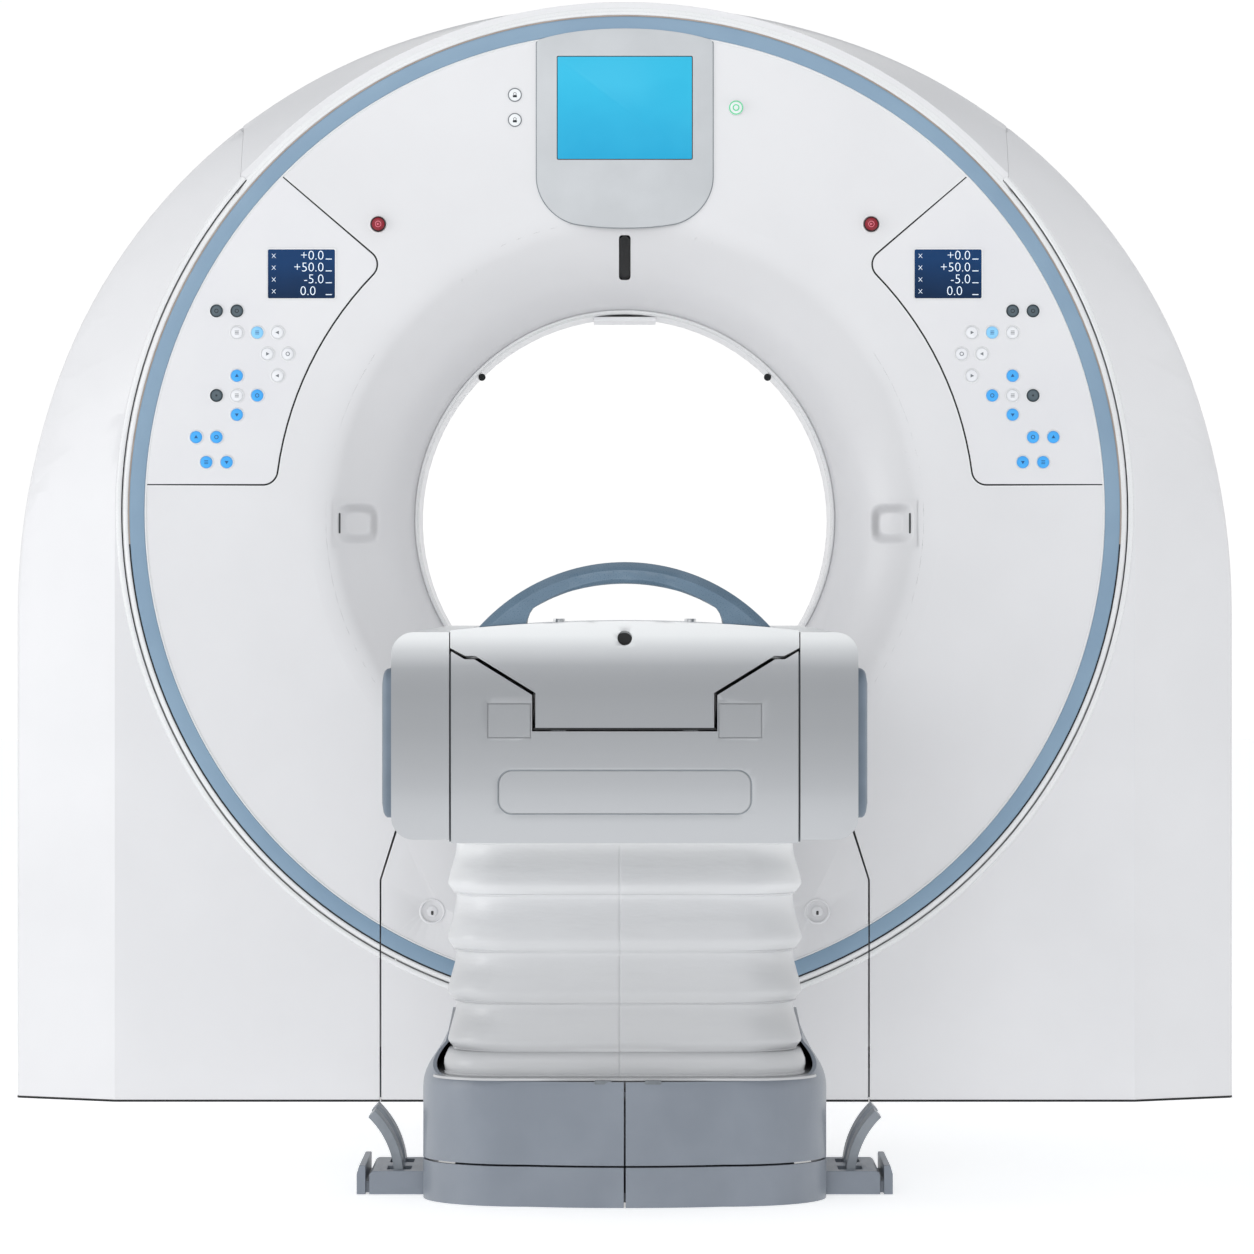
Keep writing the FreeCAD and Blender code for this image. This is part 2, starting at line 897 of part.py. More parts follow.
def make_tilt_frame():
    """The ring that tilts: a back plate with a deep rim, side pads and posts that hold the covers."""
    rim_inner = s.frame_outer_radius - s.frame_rim_wall
    plate_back = s.frame_plate_front + s.frame_plate
    ring = turned(
        [
            (s.frame_inner_radius, s.frame_plate_front),
            (rim_inner, s.frame_plate_front),
            (rim_inner, -s.frame_front),
            (s.frame_outer_radius, -s.frame_front),
            (s.frame_outer_radius, plate_back),
            (s.frame_inner_radius, plate_back),
        ],
        None,
        (0, 0, s.iso_height),
    )
    half = s.trunnion_pad_half
    outer = s.frame_outer_radius + s.trunnion_pad
    # the pad starts inside the round rim, so that its corners meet metal
    inner = s.frame_outer_radius - s.frame_rim_wall * 0.5
    iso = s.iso_height
    pads = [
        block((inner, -half, iso - half), (outer, half, iso + half)),
        block((-outer, -half, iso - half), (-inner, half, iso + half)),
    ]
    posts = []
    for number in range(COVER_POSTS):
        angle = 2 * math.pi * (number + 0.5) / COVER_POSTS
        x = s.cover_post_circle * math.cos(angle)
        z = iso + s.cover_post_circle * math.sin(angle)
        ends = s.gantry_face - s.cover_wall
        half = s.cover_post_half
        posts.append(block((x - half, -ends, z - half), (x + half, 1 - s.frame_front, z + half)))
        posts.append(block((x - half, plate_back - 1, z - half), (x + half, ends, z + half)))
    keep(fuse(ring, *pads, *posts, *hood_brackets()), "tilt_frame")

    tower_outer = s.tower_inner_reach + s.tower_thickness
    shaft = rod(s.trunnion_radius, (outer, 0, iso), "x", tower_outer - outer)
    keep(fuse(shaft, mirrored(shaft)), "tilt_trunnions")


def hood_brackets():
    """Blocks on the tilting frame that the hood is screwed to, cut to the hood's inner face."""
    half = s.hood_bracket_half
    depth = s.hood_bracket_depth / 2
    low = s.iso_height + reach_at(s.frame_outer_radius, s.hood_bracket_reach + half) - 5
    inside = formed(housing_form(SIZES["cover_wall"], 0))
    brackets = []
    for side in (-1, 1):
        x = s.hood_bracket_reach * side
        high = s.gantry_spring_height + s.gantry_half_width
        brackets.append(common(block((x - half, -depth, low), (x + half, depth, high)), inside))
    return brackets


def make_rotor():
    """The spinning plate with its hub, and what it carries round the bore."""
    iso = s.iso_height
    front = s.rotor_plate_front
    back = front + s.rotor_plate
    race_end = s.frame_plate_front - s.rotor_race_end_gap
    body = turned(
        [
            (s.rotor_inner_radius, front),
            (s.rotor_outer_radius, front),
            (s.rotor_outer_radius, back),
            (s.rotor_hub_outer, back),
            (s.rotor_hub_outer, race_end),
            (s.rotor_inner_radius, race_end),
        ],
        None,
        (0, 0, iso),
    )
    keep(body, "rotor_ring")

    bearing_inner = s.rotor_hub_outer + s.rotor_bearing_clearance
    bearing_front = back + s.rotor_race_end_gap
    keep(
        tube(
            s.rotor_bearing_outer,
            bearing_inner,
            (0, bearing_front, iso),
            "y",
            s.frame_plate_front - bearing_front,
        ),
        "rotor_bearing",
    )
    keep(
        tube(
            s.slip_ring_outer,
            s.slip_ring_inner,
            (0, back, iso),
            "y",
            s.slip_ring_thickness,
        ),
        "slip_ring",
    )
    brush_face = back + s.slip_ring_thickness + s.brush_gap
    keep(
        block(
            (-s.brush_half_width, brush_face, iso + s.slip_ring_inner),
            (s.brush_half_width, s.frame_plate_front, iso + s.slip_ring_outer),
        ),
        "brush_block",
    )
    tube_z = iso + s.tube_height
    housing = rod(s.tube_radius, (0, front - s.tube_length, tube_z), "y", s.tube_length)
    neck = block(
        (-s.collimator_half_width, front - s.tube_length * 0.6, tube_z - s.tube_radius * 1.35),
        (s.collimator_half_width, front, tube_z - s.tube_radius * 0.6),
    )
    collimator_top = tube_z - s.tube_radius * 1.35
    blades = block(
        (-s.collimator_half_width * 0.8, front - s.tube_length * 0.5, collimator_top - s.collimator_tall),
        (s.collimator_half_width * 0.8, front, collimator_top),
    )
    keep(fuse(housing, neck, blades), "xray_tube")
    focus = iso + s.focus_height
    inner = s.detector_distance
    outer = inner + s.detector_thickness
    span = s.detector_half_span
    drop_inner = reach_at(inner, span)
    outer_span = span * outer / inner
    drop_outer = reach_at(outer, outer_span)
    keep(
        front_prism(
            [
                (-outer_span, focus - drop_outer),
                (outer_span, focus - drop_outer),
                (span, focus - drop_inner),
                (-span, focus - drop_inner),
            ],
            {0: outer, 2: -inner},
            front - s.detector_depth,
            s.detector_depth,
        ),
        "detector_arc",
    )
    middle = iso - s.generator_drop
    box = block(
        (s.generator_reach, front - s.generator_depth, middle - s.generator_tall / 2),
        (s.generator_reach + s.generator_width, front, middle + s.generator_tall / 2),
    )
    keep(fuse(box, mirrored(box)), "rotor_generators")


# ---- the covers that tilt -----------------------------------------------------------------------


def disc_shell(outer_radius, rounded):
    """A round cover plate and the flare that leads from its mouth to the bore."""
    wall = s.cover_wall
    body = new_body((0, -s.gantry_face, s.iso_height))
    sketch = new_sketch(body, "XZ_Plane")
    draw_circle(sketch, outer_radius, (0, s.disc_rise))
    draw_circle(sketch, s.mouth_radius + s.mouth_lip / 2)
    pad(body, sketch, wall)
    depth = s.gantry_face - s.tunnel_half_length
    cone_end = depth - s.throat_land
    profile = draw(
        new_sketch(body, "XY_Plane"),
        [
            (s.mouth_radius, 0),
            (s.mouth_radius + s.mouth_lip, 0),
            (s.mouth_radius + s.mouth_lip, wall),
            (s.mouth_radius + wall * 0.6, wall),
            (s.bore_radius + wall, cone_end + wall * 0.3),
            (s.bore_radius + wall, depth),
            (s.bore_radius, depth),
            (s.bore_radius, cone_end),
        ],
    )
    feature = body.newObject("PartDesign::Revolution", "flare")
    feature.Profile = profile
    feature.ReferenceAxis = (profile, ["V_Axis"])
    feature.Angle = 360
    if rounded:
        round_edges(body, s.mouth_round, lambda edge: is_circle(edge, s.mouth_radius, 0))
        round_edges(body, s.throat_round, lambda edge: is_circle(edge, s.bore_radius, cone_end))
    return body


def flare_air(shift):
    """The space in front of the flare, moved back by a shift: a plain cone with its mouth."""
    depth = s.gantry_face - s.tunnel_half_length
    cone_end = depth - s.throat_land
    return turned(
        [
            (0, -s.rim_depth),
            (s.mouth_radius + s.mouth_lip, -s.rim_depth),
            (s.mouth_radius + s.mouth_lip, 0),
            (s.mouth_radius, 0),
            (s.bore_radius, cone_end),
            (0, cone_end),
        ],
        None,
        (0, shift - s.gantry_face, s.iso_height),
    )


def service_outline(grow):
    """The part of the disc that comes off for service, in the floor's heights."""
    wide = s.lower_panel_half_width + grow
    top = s.service_panel_top_half_width + grow
    return symmetric(
        [
            (wide, 0),
            (wide, s.service_panel_height),
            (top, s.service_panel_top + grow),
        ]
    )


def service_prism(grow):
    near = -s.gantry_face - s.rim_depth
    return front_prism(service_outline(grow), None, near, s.rim_depth * 3)


def rounded_square(x, z, side, corner, near, depth):
    """A square prism with round corners, seen from the front."""
    half = side / 2
    body = front_prism(
        [(x - half, z - half), (x + half, z - half), (x + half, z + half), (x - half, z + half)],
        None,
        near,
        depth,
    )
    if corner:
        round_edges(body, corner, lambda edge: abs(edge.Vertexes[0].Y - edge.Vertexes[-1].Y) > 1)
    return body


def button_places():
    iso = s.iso_height
    return {
        "left_stop_button": (-s.red_button_reach, iso + s.red_button_height),
        "right_stop_button": (s.red_button_reach, iso + s.red_button_height),
        "start_button": (s.green_button_reach, iso + s.green_button_height),
    }


def slot_prism(grow, near, depth):
    half = s.slot_half_width + grow
    low = s.iso_height + s.slot_bottom - grow
    high = s.iso_height + s.slot_top + grow
    body = front_prism([(-half, low), (half, low), (half, high), (-half, high)], None, near, depth)
    round_edges(
        body, s.slot_half_width * 0.6, lambda edge: abs(edge.Vertexes[0].Y - edge.Vertexes[-1].Y) > 1
    )
    return body


def make_front_cover():
    iso = s.iso_height
    plate = disc_shell(s.rim_outer_radius - s.rim_width, True)
    near = -s.gantry_face - 1
    holes = [
        rod(s.button_stem_radius + s.button_stem_clearance, (x, near, z), "y", s.cover_wall + 2)
        for x, z in button_places().values()
    ]
    slot = slot_prism(s.seat_gap, -s.gantry_face, s.gantry_face / 2)
    grips = []
    for side in (-1, 1):
        grip = rounded_square(
            s.grip_reach * side,
            iso + s.grip_height,
            s.grip_side + s.seat_gap,
            0,
            -s.gantry_face,
            s.gantry_face - s.tunnel_half_length,
        )
        grips.append(grip)
    half_seam = s.panel_seam / 2
    console_seat = console_prism(s.console_seam)
    seats = [display_prism(s.console_seam), console_seat, mirrored(console_seat)]
    keep(cut(plate, service_prism(half_seam), slot, *holes, *grips, *seats), "front_cover")

    whole = rod(
        s.rim_outer_radius - s.rim_width,
        (0, -s.gantry_face, iso + s.disc_rise),
        "y",
        s.cover_wall,
    )
    lock_places = [(s.panel_lock_reach, s.panel_lock_height), (-s.panel_lock_reach, s.panel_lock_height)]
    dimples = [
        rod(s.panel_lock_radius, (x, -s.gantry_face - 1, z), "y", s.cover_wall / 2 + 1)
        for x, z in lock_places
    ]
    panel = common(whole, service_prism(-half_seam))
    keep(cut(panel, *dimples), "service_panel")
    dimple_floor = s.cover_wall / 2 - s.gantry_face
    locks = []
    for x, z in lock_places:
        knob = stud(s.panel_lock_radius * 0.55, (x, dimple_floor - 2, z), 2)
        bar = s.panel_lock_radius * 0.1
        reach = s.panel_lock_radius * 0.4
        mark = block((x - bar, dimple_floor - 3, z - reach), (x + bar, dimple_floor - 1, z + reach))
        locks.append(cut(knob, mark))
    keep(fuse(*locks), "service_panel_locks")

    cups = []
    for side in (-1, 1):
        x = s.grip_reach * side
        z = iso + s.grip_height
        depth = s.gantry_face - s.tunnel_half_length
        outer = rounded_square(x, z, s.grip_side - s.seat_gap, 0, -s.gantry_face, depth)
        inner_side = s.grip_side - s.grip_wall * 2
        inner = rounded_square(x, z, inner_side, 0, -s.gantry_face, depth)
        cup = common(outer, flare_air(s.grip_depth + s.grip_wall))
        cups.append(cut(cup, flare_air(0.5), common(inner, flare_air(s.grip_depth))))
    slug = slot_prism(-s.seat_gap / 2, -s.gantry_face, s.gantry_face / 2)
    intercom = cut(common(slug, flare_air(s.cover_wall)), flare_air(-1))
    keep(fuse(*cups, intercom), "flare_inserts")


def make_rear_cover():
    plate = disc_shell(s.rim_outer_radius, False)
    thing = doc.addObject("Part::Mirroring", "mirrored")
    thing.Source = plate
    thing.Normal = Vector(0, 1, 0)
    keep(thing, "rear_cover")


def make_rings():
    """The coloured ring and the white bead round it, each parted where the service panel comes off."""
    at = (0, -s.gantry_face, s.iso_height + s.disc_rise)
    inner = s.ring_inner_radius
    outer = s.ring_outer_radius
    proud = s.ring_proud
    shy = (outer - inner) / 4
    band = turned(
        [
            (inner, 0),
            (inner, -proud / 2),
            (inner + shy, -proud),
            (outer - shy, -proud),
            (outer, -proud / 2),
            (outer, 0),
        ],
        None,
        at,
    )
    rim_inner = s.rim_outer_radius - s.rim_width
    bead = turned(
        [
            (rim_inner, s.cover_wall),
            (rim_inner, s.rim_width / 3 - s.rim_proud),
            (rim_inner + s.rim_width / 3, -s.rim_proud),
            (s.rim_outer_radius - s.rim_width / 3, -s.rim_proud),
            (s.rim_outer_radius, s.rim_width / 3 - s.rim_proud),
            (s.rim_outer_radius, s.rim_depth),
            (s.rim_outer_radius - s.rim_width / 3, s.rim_depth),
            (s.rim_outer_radius - s.rim_width / 3, s.cover_wall),
        ],
        None,
        at,
    )
    half_seam = s.panel_seam / 2
    for form, name in ((band, "front_ring"), (bead, "disc_rim")):
        below = service_prism(-half_seam)
        above = service_prism(half_seam)
        keep(fuse(cut(form, above), common(form, below)), name)


def seated_prism(corners, bends, seam):
    """A plate let into the front cover, or its seat where a seam is given."""
    proud = s.front_plate_proud
    if seam:
        proud = s.rim_proud
    depth = s.front_plate - s.front_plate_proud + proud
    return front_prism(corners, bends, -s.gantry_face - proud, depth)


def display_prism(seam=0):
    """The display's panel: a round top along the ring, and a round chin."""
    iso = s.iso_height
    wide = s.display_half_width + seam
    low = iso + s.display_side_bottom
    arc = s.ring_inner_radius - s.seat_gap
    high = iso + s.disc_rise + reach_at(arc, wide)
    return seated_prism(
        [(-wide, low), (wide, low), (wide, high), (-wide, high)],
        {0: bow_radius(wide, s.display_chin + seam), 2: arc},
        seam,
    )


def console_prism(seam=0):
    """A console's plate: a piece of a ring, cut level at the bottom and aslant at the top."""
    iso = s.iso_height
    inner = s.console_inner_radius - seam
    outer = s.ring_inner_radius - s.seat_gap
    bottom = s.console_bottom - seam
    root_x = reach_at(inner, bottom)
    end_x = reach_at(outer, bottom - s.disc_rise)
    # the slanting edge moves out by the seam too, so both its ends slide along their arcs
    corner_x = s.console_corner_reach - seam * 1.4
    tip_x = s.console_tip_reach - seam * 0.7
    corner = (corner_x, iso + reach_at(inner, corner_x))
    tip = (tip_x, iso + s.disc_rise + reach_at(outer, tip_x))
    plate = seated_prism(
        [(root_x, iso + bottom), (end_x, iso + bottom), tip, corner],
        {1: outer, 3: -inner},
        seam,
    )
    round_edges(
        plate,
        s.console_corner_round,
        lambda edge: is_corner(edge, root_x, iso + bottom, "y") or is_corner(edge, *corner, "y"),
    )
    return plate


def make_display():
    face = -s.gantry_face - s.front_plate_proud
    iso = s.iso_height
    panel = display_prism()
    screen_box = (
        (-s.screen_half_width, face, iso + s.screen_bottom),
        (s.screen_half_width, face + s.screen_depth, iso + s.screen_top),
    )
    recess = block(
        (-s.screen_half_width - s.seat_gap, face - 1, iso + s.screen_bottom - s.seat_gap),
        (s.screen_half_width + s.seat_gap, face + s.screen_depth, iso + s.screen_top + s.seat_gap),
    )
    keep(cut(panel, recess), "display_panel")
    keep(block(*screen_box), "display_screen")
    lamps = [
        stud(
            s.lamp_radius,
            (-s.lamp_reach, -s.gantry_face - 2, iso + s.lamp_height + s.lamp_pitch * step),
            2,
        )
        for step in (-0.5, 0.5)
    ]
    keep(fuse(*lamps), "status_lamps")


def make_consoles():
    """The two curved control panels with their readouts and keys."""
    iso = s.iso_height
    face = -s.gantry_face - s.front_plate_proud
    plate = console_prism()
    keep(fuse(plate, mirrored(plate)), "consoles")

    x = s.readout_reach
    z = iso + s.readout_height
    half = s.readout_width / 2
    tall = s.readout_tall / 2
    readout = block((x - half, face - 2, z - tall), (x + half, face, z + tall))
    keep(fuse(readout, mirrored(readout)), "readouts")

    centre = iso + s.key_cluster_height
    keys = []
    for rise, steps in KEY_ROWS:
        for step in steps:
            place = (s.key_column + s.key_half_step * step, face - s.key_proud, centre + rise)
            keys.append(stud(s.key_radius, place, s.key_proud))
    mat = fuse(*keys)
    keep(fuse(mat, mirrored(mat)), "console_keys")


def make_buttons():
    for name, (x, z) in button_places().items():
        head = rod(
            s.button_radius,
            (x, -s.gantry_face - s.button_travel - 8, z),
            "y",
            7,
        )
        stem = rod(s.button_stem_radius, (x, -s.gantry_face - s.button_travel - 2, z), "y", 20)
        keep(fuse(head, stem), name)


def make_bore():
    iso = s.iso_height
    half = s.tunnel_half_length
    keep(
        tube(
            s.bore_radius + s.tunnel_wall,
            s.bore_radius,
            (0, -half, iso),
            "y",
            half * 2,
        ),
        "bore_tunnel",
    )
    # the flat cover of the alignment light sits across the top of the bore
    wide = s.top_insert_half_width
    top = iso + reach_at(s.bore_radius, wide)
    insert = block((-wide, -half, top - s.top_insert_thickness), (wide, half, top))
    windows = []
    for side in (-1, 1):
        diagonal = (s.bore_radius - s.light_window_radius) / math.sqrt(2)
        place = (diagonal * side, -half, iso + diagonal)
        lens = rod(s.light_window_radius, place, "y", s.light_window_radius)
        windows.append(lens)
    keep(fuse(insert, *windows), "light_windows")


# ---- couch top ----------------------------------------------------------------------------------


def tongue_half(drop):
    """The lower outline of the sliding tongue, lowered and widened by a running gap."""
    return [
        (s.tongue_root_reach + drop, s.tongue_bottom - drop),
        (s.tongue_root_reach + drop, s.tongue_root - drop * 0.6),
        (s.tongue_slope_reach + drop * 0.3, s.tongue_step - drop),
        (s.tongue_step_reach + drop * 0.3, s.tongue_step - drop),
    ]


def make_carriage():
    edge = s.couch_middle_half_width
    outline = symmetric(
        tongue_half(s.tongue_gap * 0) + [(edge, s.tongue_side), (edge, s.tongue_edge)]
    )
    body = front_prism(
        outline,
        {5: bow_radius(edge, s.tongue_crown)},
        -s.couch_front,
        s.carriage_length,
    )
    wall = s.carriage_wall
    inside = s.tongue_root_reach - wall
    hollow = block(
        (-inside, wall - s.couch_front, s.tongue_bottom + wall),
        (inside, s.carriage_length - s.couch_front + 1, s.tongue_side),
    )
    hole = rod(s.hole_radius, (0, -s.couch_front - 1, s.hole_height), "y", wall * 2)
    crown_top = s.tongue_edge + s.tongue_crown
    knobs = [
        rod(s.knob_radius, (s.knob_reach * side, s.knob_setback - s.couch_front, crown_top - 6), "z", 9)
        for side in (-1, 1)
    ]
    keep(fuse(cut(body, hollow, hole), *knobs), "carriage")

    wide = s.cradle_half_width
    top = s.cradle_edge
    under = top - s.cradle_edge_thickness
    cradle = front_prism(
        [(-wide, under), (wide, under), (wide, top), (-wide, top)],
        {0: bow_radius(wide, s.cradle_belly), 2: -bow_radius(wide, s.cradle_dish)},
        s.carriage_length - s.couch_front,
        s.couch_front - s.carriage_length - s.couch_rear - s.cradle_rear_gap,
    )
    keep(cradle, "cradle")


def make_handle():
    """The arched push handle over the end of the carriage."""
    foot = s.tongue_edge - 1
    outer = s.handle_outer_half
    inner = s.handle_inner_half
    body = front_prism(
        [(-outer, foot), (-inner, foot), (inner, foot), (outer, foot)],
        {
            1: -bow_radius(inner, s.handle_inner_top - foot),
            3: bow_radius(outer, s.handle_outer_top - foot),
        },
        s.handle_setback - s.couch_front,
        s.handle_depth,
    )
    bevel_edges(body, s.handle_round, lambda edge: isinstance(edge.Curve, Part.Circle))
    crown = common_block_above_tongue()
    keep(cut(body, crown), "push_handle")


def common_block_above_tongue():
    """The body of the tongue below its crown, which the handle's feet stand on."""
    edge = s.couch_middle_half_width
    low = s.tongue_side
    return front_prism(
        [(-edge, low), (edge, low), (edge, s.tongue_edge), (-edge, s.tongue_edge)],
        {2: bow_radius(edge, s.tongue_crown)},
        -s.couch_front,
        s.carriage_length,
    )


def side_cover_outline(inset):
    inner = s.couch_middle_half_width + s.cover_seam
    outer = s.couch_half_width - inset
    low = s.side_cover_bottom + inset
    high = s.side_cover_top - inset
    soft = s.side_cover_round - inset
    return (
        [
            (inner, low),
            (outer - soft, low),
            (outer, low + soft),
            (outer, high - soft),
            (outer - soft, high),
            (inner, high),
        ],
        {1: soft, 3: soft},
    )


def make_side_covers():
    length = s.couch_front - s.couch_rear
    wall = s.side_cover_wall
    corners, bends = side_cover_outline(0)
    shell = front_prism(corners, bends, -s.couch_front, length)
    inner_corners, inner_bends = side_cover_outline(wall)
    hollow = front_prism(inner_corners, inner_bends, wall - s.couch_front, length - wall * 2)
    right = keep(cut(shell, hollow), "right_side_cover")
    keep(mirrored(right), "left_side_cover")

    edge = s.couch_half_width
    middle = (s.pad_top + s.pad_bottom) / 2
    half_tall = (s.pad_top - s.pad_bottom) / 2
    cushion = front_prism(
        [
            (edge, s.pad_bottom),
            (edge + s.pad_thickness * 0.6, s.pad_bottom + 3),
            (edge + s.pad_thickness, middle),
            (edge + s.pad_thickness * 0.6, s.pad_top - 3),
            (edge, s.pad_top),
        ],
        {
            1: bow_radius(half_tall, s.pad_thickness * 0.75),
            2: bow_radius(half_tall, s.pad_thickness * 0.75),
        },
        s.pad_front_setback - s.couch_front,
        s.pad_length,
    )
    keep(fuse(cushion, mirrored(cushion)), "side_pads")


def make_couch_frame():
    edge = s.couch_middle_half_width - s.cover_seam
    length = s.couch_front - s.couch_rear
    gap = s.tongue_gap
    low = s.couch_bottom
    lip = s.tongue_side - gap
    end_corners = symmetric([(edge, low), (edge, lip)] + list(reversed(tongue_half(gap))))
    plate = front_prism(end_corners, None, -s.couch_front, s.end_cover_thickness)
    groove = s.groove
    near = -s.couch_front - 1
    panel = rounded_panel(s.slot_panel_half_width, s.slot_panel_bottom, s.slot_panel_top, s.slot_panel_round)
    seat = rounded_panel(
        s.slot_panel_half_width + groove,
        s.slot_panel_bottom - groove,
        s.slot_panel_top + groove,
        s.slot_panel_round + groove,
    )
    slot_panel = front_prism(*panel, -s.couch_front, s.end_cover_thickness / 2)
    recess = front_prism(*seat, near, s.end_cover_thickness / 2 + 1)
    pockets = []
    pocket_seats = []
    for side in (-1, 1):
        a = s.pocket_cover_inner * side
        b = s.pocket_cover_outer * side
        x0, x1 = (a, b) if side > 0 else (b, a)
        bottom, top = s.pocket_cover_bottom, s.pocket_cover_top
        face = -s.couch_front
        pockets.append(block((x0, face, bottom), (x1, face + 4, top)))
        pocket_seats.append(
            block((x0 - 1.5, near, bottom - 1.5), (x1 + 1.5, face + 4, top + 1.5))
        )
    keep(cut(plate, recess, *pocket_seats), "couch_end_cover")
    keep(fuse(slot_panel, *pockets), "couch_end_panels")

    drop = gap + s.frame_drop
    wall = s.couch_frame_wall
    frame_edge = s.couch_middle_half_width + s.cover_seam
    frame_low = low + s.frame_drop
    outer = symmetric(
        [(frame_edge, frame_low), (frame_edge, lip - s.frame_drop)] + list(reversed(tongue_half(drop)))
    )
    inner_half = [
        (frame_edge - wall, frame_low + wall),
        (frame_edge - wall, lip - s.frame_drop - wall * 2),
    ]
    inner_half += [(x + wall * 0.4, z - wall) for x, z in reversed(tongue_half(drop)[1:3])]
    inner_half += [(s.tongue_root_reach + drop, s.tongue_bottom - drop - wall)]
    start = s.end_cover_thickness - s.couch_front
    run = length - s.end_cover_thickness - s.side_cover_wall
    shell = front_prism(outer, None, start, run)
    hollow = front_prism(symmetric(inner_half), None, start + wall, run - wall * 2)
    hole = s.column_outer_half + s.column_hole_gap
    y = s.column_y
    opening = block((-hole, y - hole, low - 1), (hole, y + hole, low + wall * 3))
    keep(cut(shell, hollow, opening), "couch_frame")

    rail_bottom = s.tongue_bottom - drop
    rails = [
        block(
            (s.rail_reach * side - s.rail_half_width, start, rail_bottom),
            (s.rail_reach * side + s.rail_half_width, start + run, s.tongue_bottom - s.rail_running_gap),
        )
        for side in (-1, 1)
    ]
    keep(fuse(*rails), "carriage_rails")


def rounded_panel(half, low, high, soft):
    corners = [
        (soft - half, low),
        (half - soft, low),
        (half, low + soft),
        (half, high - soft),
        (half - soft, high),
        (soft - half, high),
        (-half, high - soft),
        (-half, low + soft),
    ]
    return corners, {1: soft, 3: soft, 5: soft, 7: soft}


# ---- lifting column, bellows and base -----------------------------------------------------------


def box_tube(half, wall, bottom, top):
    y = s.column_y
    inner = half - wall
    outside = block((-half, y - half, bottom), (half, y + half, top))
    inside = block((-inner, y - inner, bottom - 1), (inner, y + inner, top + 1))
    return cut(outside, inside)


def make_column():
    wall = s.column_wall
    step = wall + s.column_gap
    outer = s.column_outer_half
    keep(box_tube(outer, wall, s.floor_plate, s.column_outer_top), "column_outer")
    middle = outer - step
    keep(box_tube(middle, wall, s.column_middle_bottom, s.column_middle_top), "column_middle")
    inner_top = s.tongue_bottom - s.tongue_gap - s.frame_drop - s.couch_frame_wall
    low = s.column_inner_bottom
    y = s.column_y
    inside = middle - step - wall + 1
    plate = block((-inside, y - inside, low), (inside, y + inside, low + s.lift_nut_plate))
    nut = rod(s.lift_nut_radius, (0, y, low), "z", s.lift_nut_length)
    thread = rod(
        s.lift_screw_radius + s.lift_screw_clearance, (0, y, low - 1), "z", s.lift_nut_length + 2
    )
    column = fuse(box_tube(middle - step, wall, low, inner_top), plate, nut)
    keep(cut(column, thread), "column_inner")
    motor = rod(s.lift_motor_radius, (0, y, s.floor_plate), "z", s.lift_motor_top - s.floor_plate)
    screw = rod(s.lift_screw_radius, (0, y, s.floor_plate), "z", s.lift_screw_top - s.floor_plate)
    keep(fuse(motor, screw), "lift_drive")


def rounded_plan(half_width, half_length, corner, z):
    """A level rounded rectangle as a wire, about the column."""
    y = SIZES["column_y"]
    flat = half_width - corner
    long = half_length - corner
    diagonal = corner / math.sqrt(2)
    edges = []
    corners = ((1, -1), (1, 1), (-1, 1), (-1, -1))
    ends = []
    for sx, sy in corners:
        middle = Vector(sx * (flat + diagonal), y + sy * (long + diagonal), z)
        across = Vector(sx * flat, y + sy * half_length, z)
        along = Vector(sx * half_width, y + sy * long, z)
        first, last = (across, along) if sx * sy < 0 else (along, across)
        ends.append((first, middle, last))
    for index, (first, middle, last) in enumerate(ends):
        edges.append(Part.Arc(first, middle, last).toShape())
        edges.append(Part.makeLine(last, ends[(index + 1) % len(ends)][0]))
    return Part.Wire(edges)


def bellows_form(inset):
    """A pleated sleeve: each pleat swells from a valley to a ridge and back."""
    bottom = SIZES["bellows_bottom"]
    bead = SIZES["bellows_bead"]
    top = SIZES["couch_bottom"]
    pitch = (top - bottom - bead) / BELLOWS_PLEATS
    valley = SIZES["bellows_valley"]
    half_width = SIZES["bellows_half_width"] - inset
    half_length = SIZES["bellows_half_length"] - inset
    corner = SIZES["bellows_corner"] - inset
    # share of a pleat's height, and of the valley's depth, at each ring up the pleat
    swell = ((0, 1), (0.3, 0.32), (0.62, 0), (0.86, 0.42))
    rings = [(bottom, valley * 0.5), (bottom + bead * 0.6, valley * 0.3)]
    for pleat in range(BELLOWS_PLEATS):
        start = bottom + bead + pleat * pitch
        rings += [(start + share * pitch, depth * valley) for share, depth in swell]
    rings.append((top, valley))
    wires = [
        rounded_plan(half_width - depth, half_length - depth, corner - depth * 0.5, z)
        for z, depth in rings
    ]
    return Part.makeLoft(wires, True, True)


def make_bellows():
    wall = SIZES["bellows_wall"]
    shell = bellows_form(0).cut(bellows_form(wall))
    keep(formed(shell), "bellows")


def base_plan(inset):
    """The base in plan: bowed ends, broad round corners and straight sides."""
    wide = s.base_half_width - inset
    long = s.base_half_length - inset
    corner = s.base_corner - inset
    bow = s.base_bow
    flat = wide - corner
    end = long - bow
    corners = [
        (-flat, -end),
        (flat, -end),
        (wide, corner - end),
        (wide, end - corner),
        (flat, end),
        (-flat, end),
        (-wide, end - corner),
        (-wide, corner - end),
    ]
    ends = bow_radius(flat, bow)
    return corners, {0: ends, 1: corner, 3: corner, 4: ends, 5: corner, 7: corner}


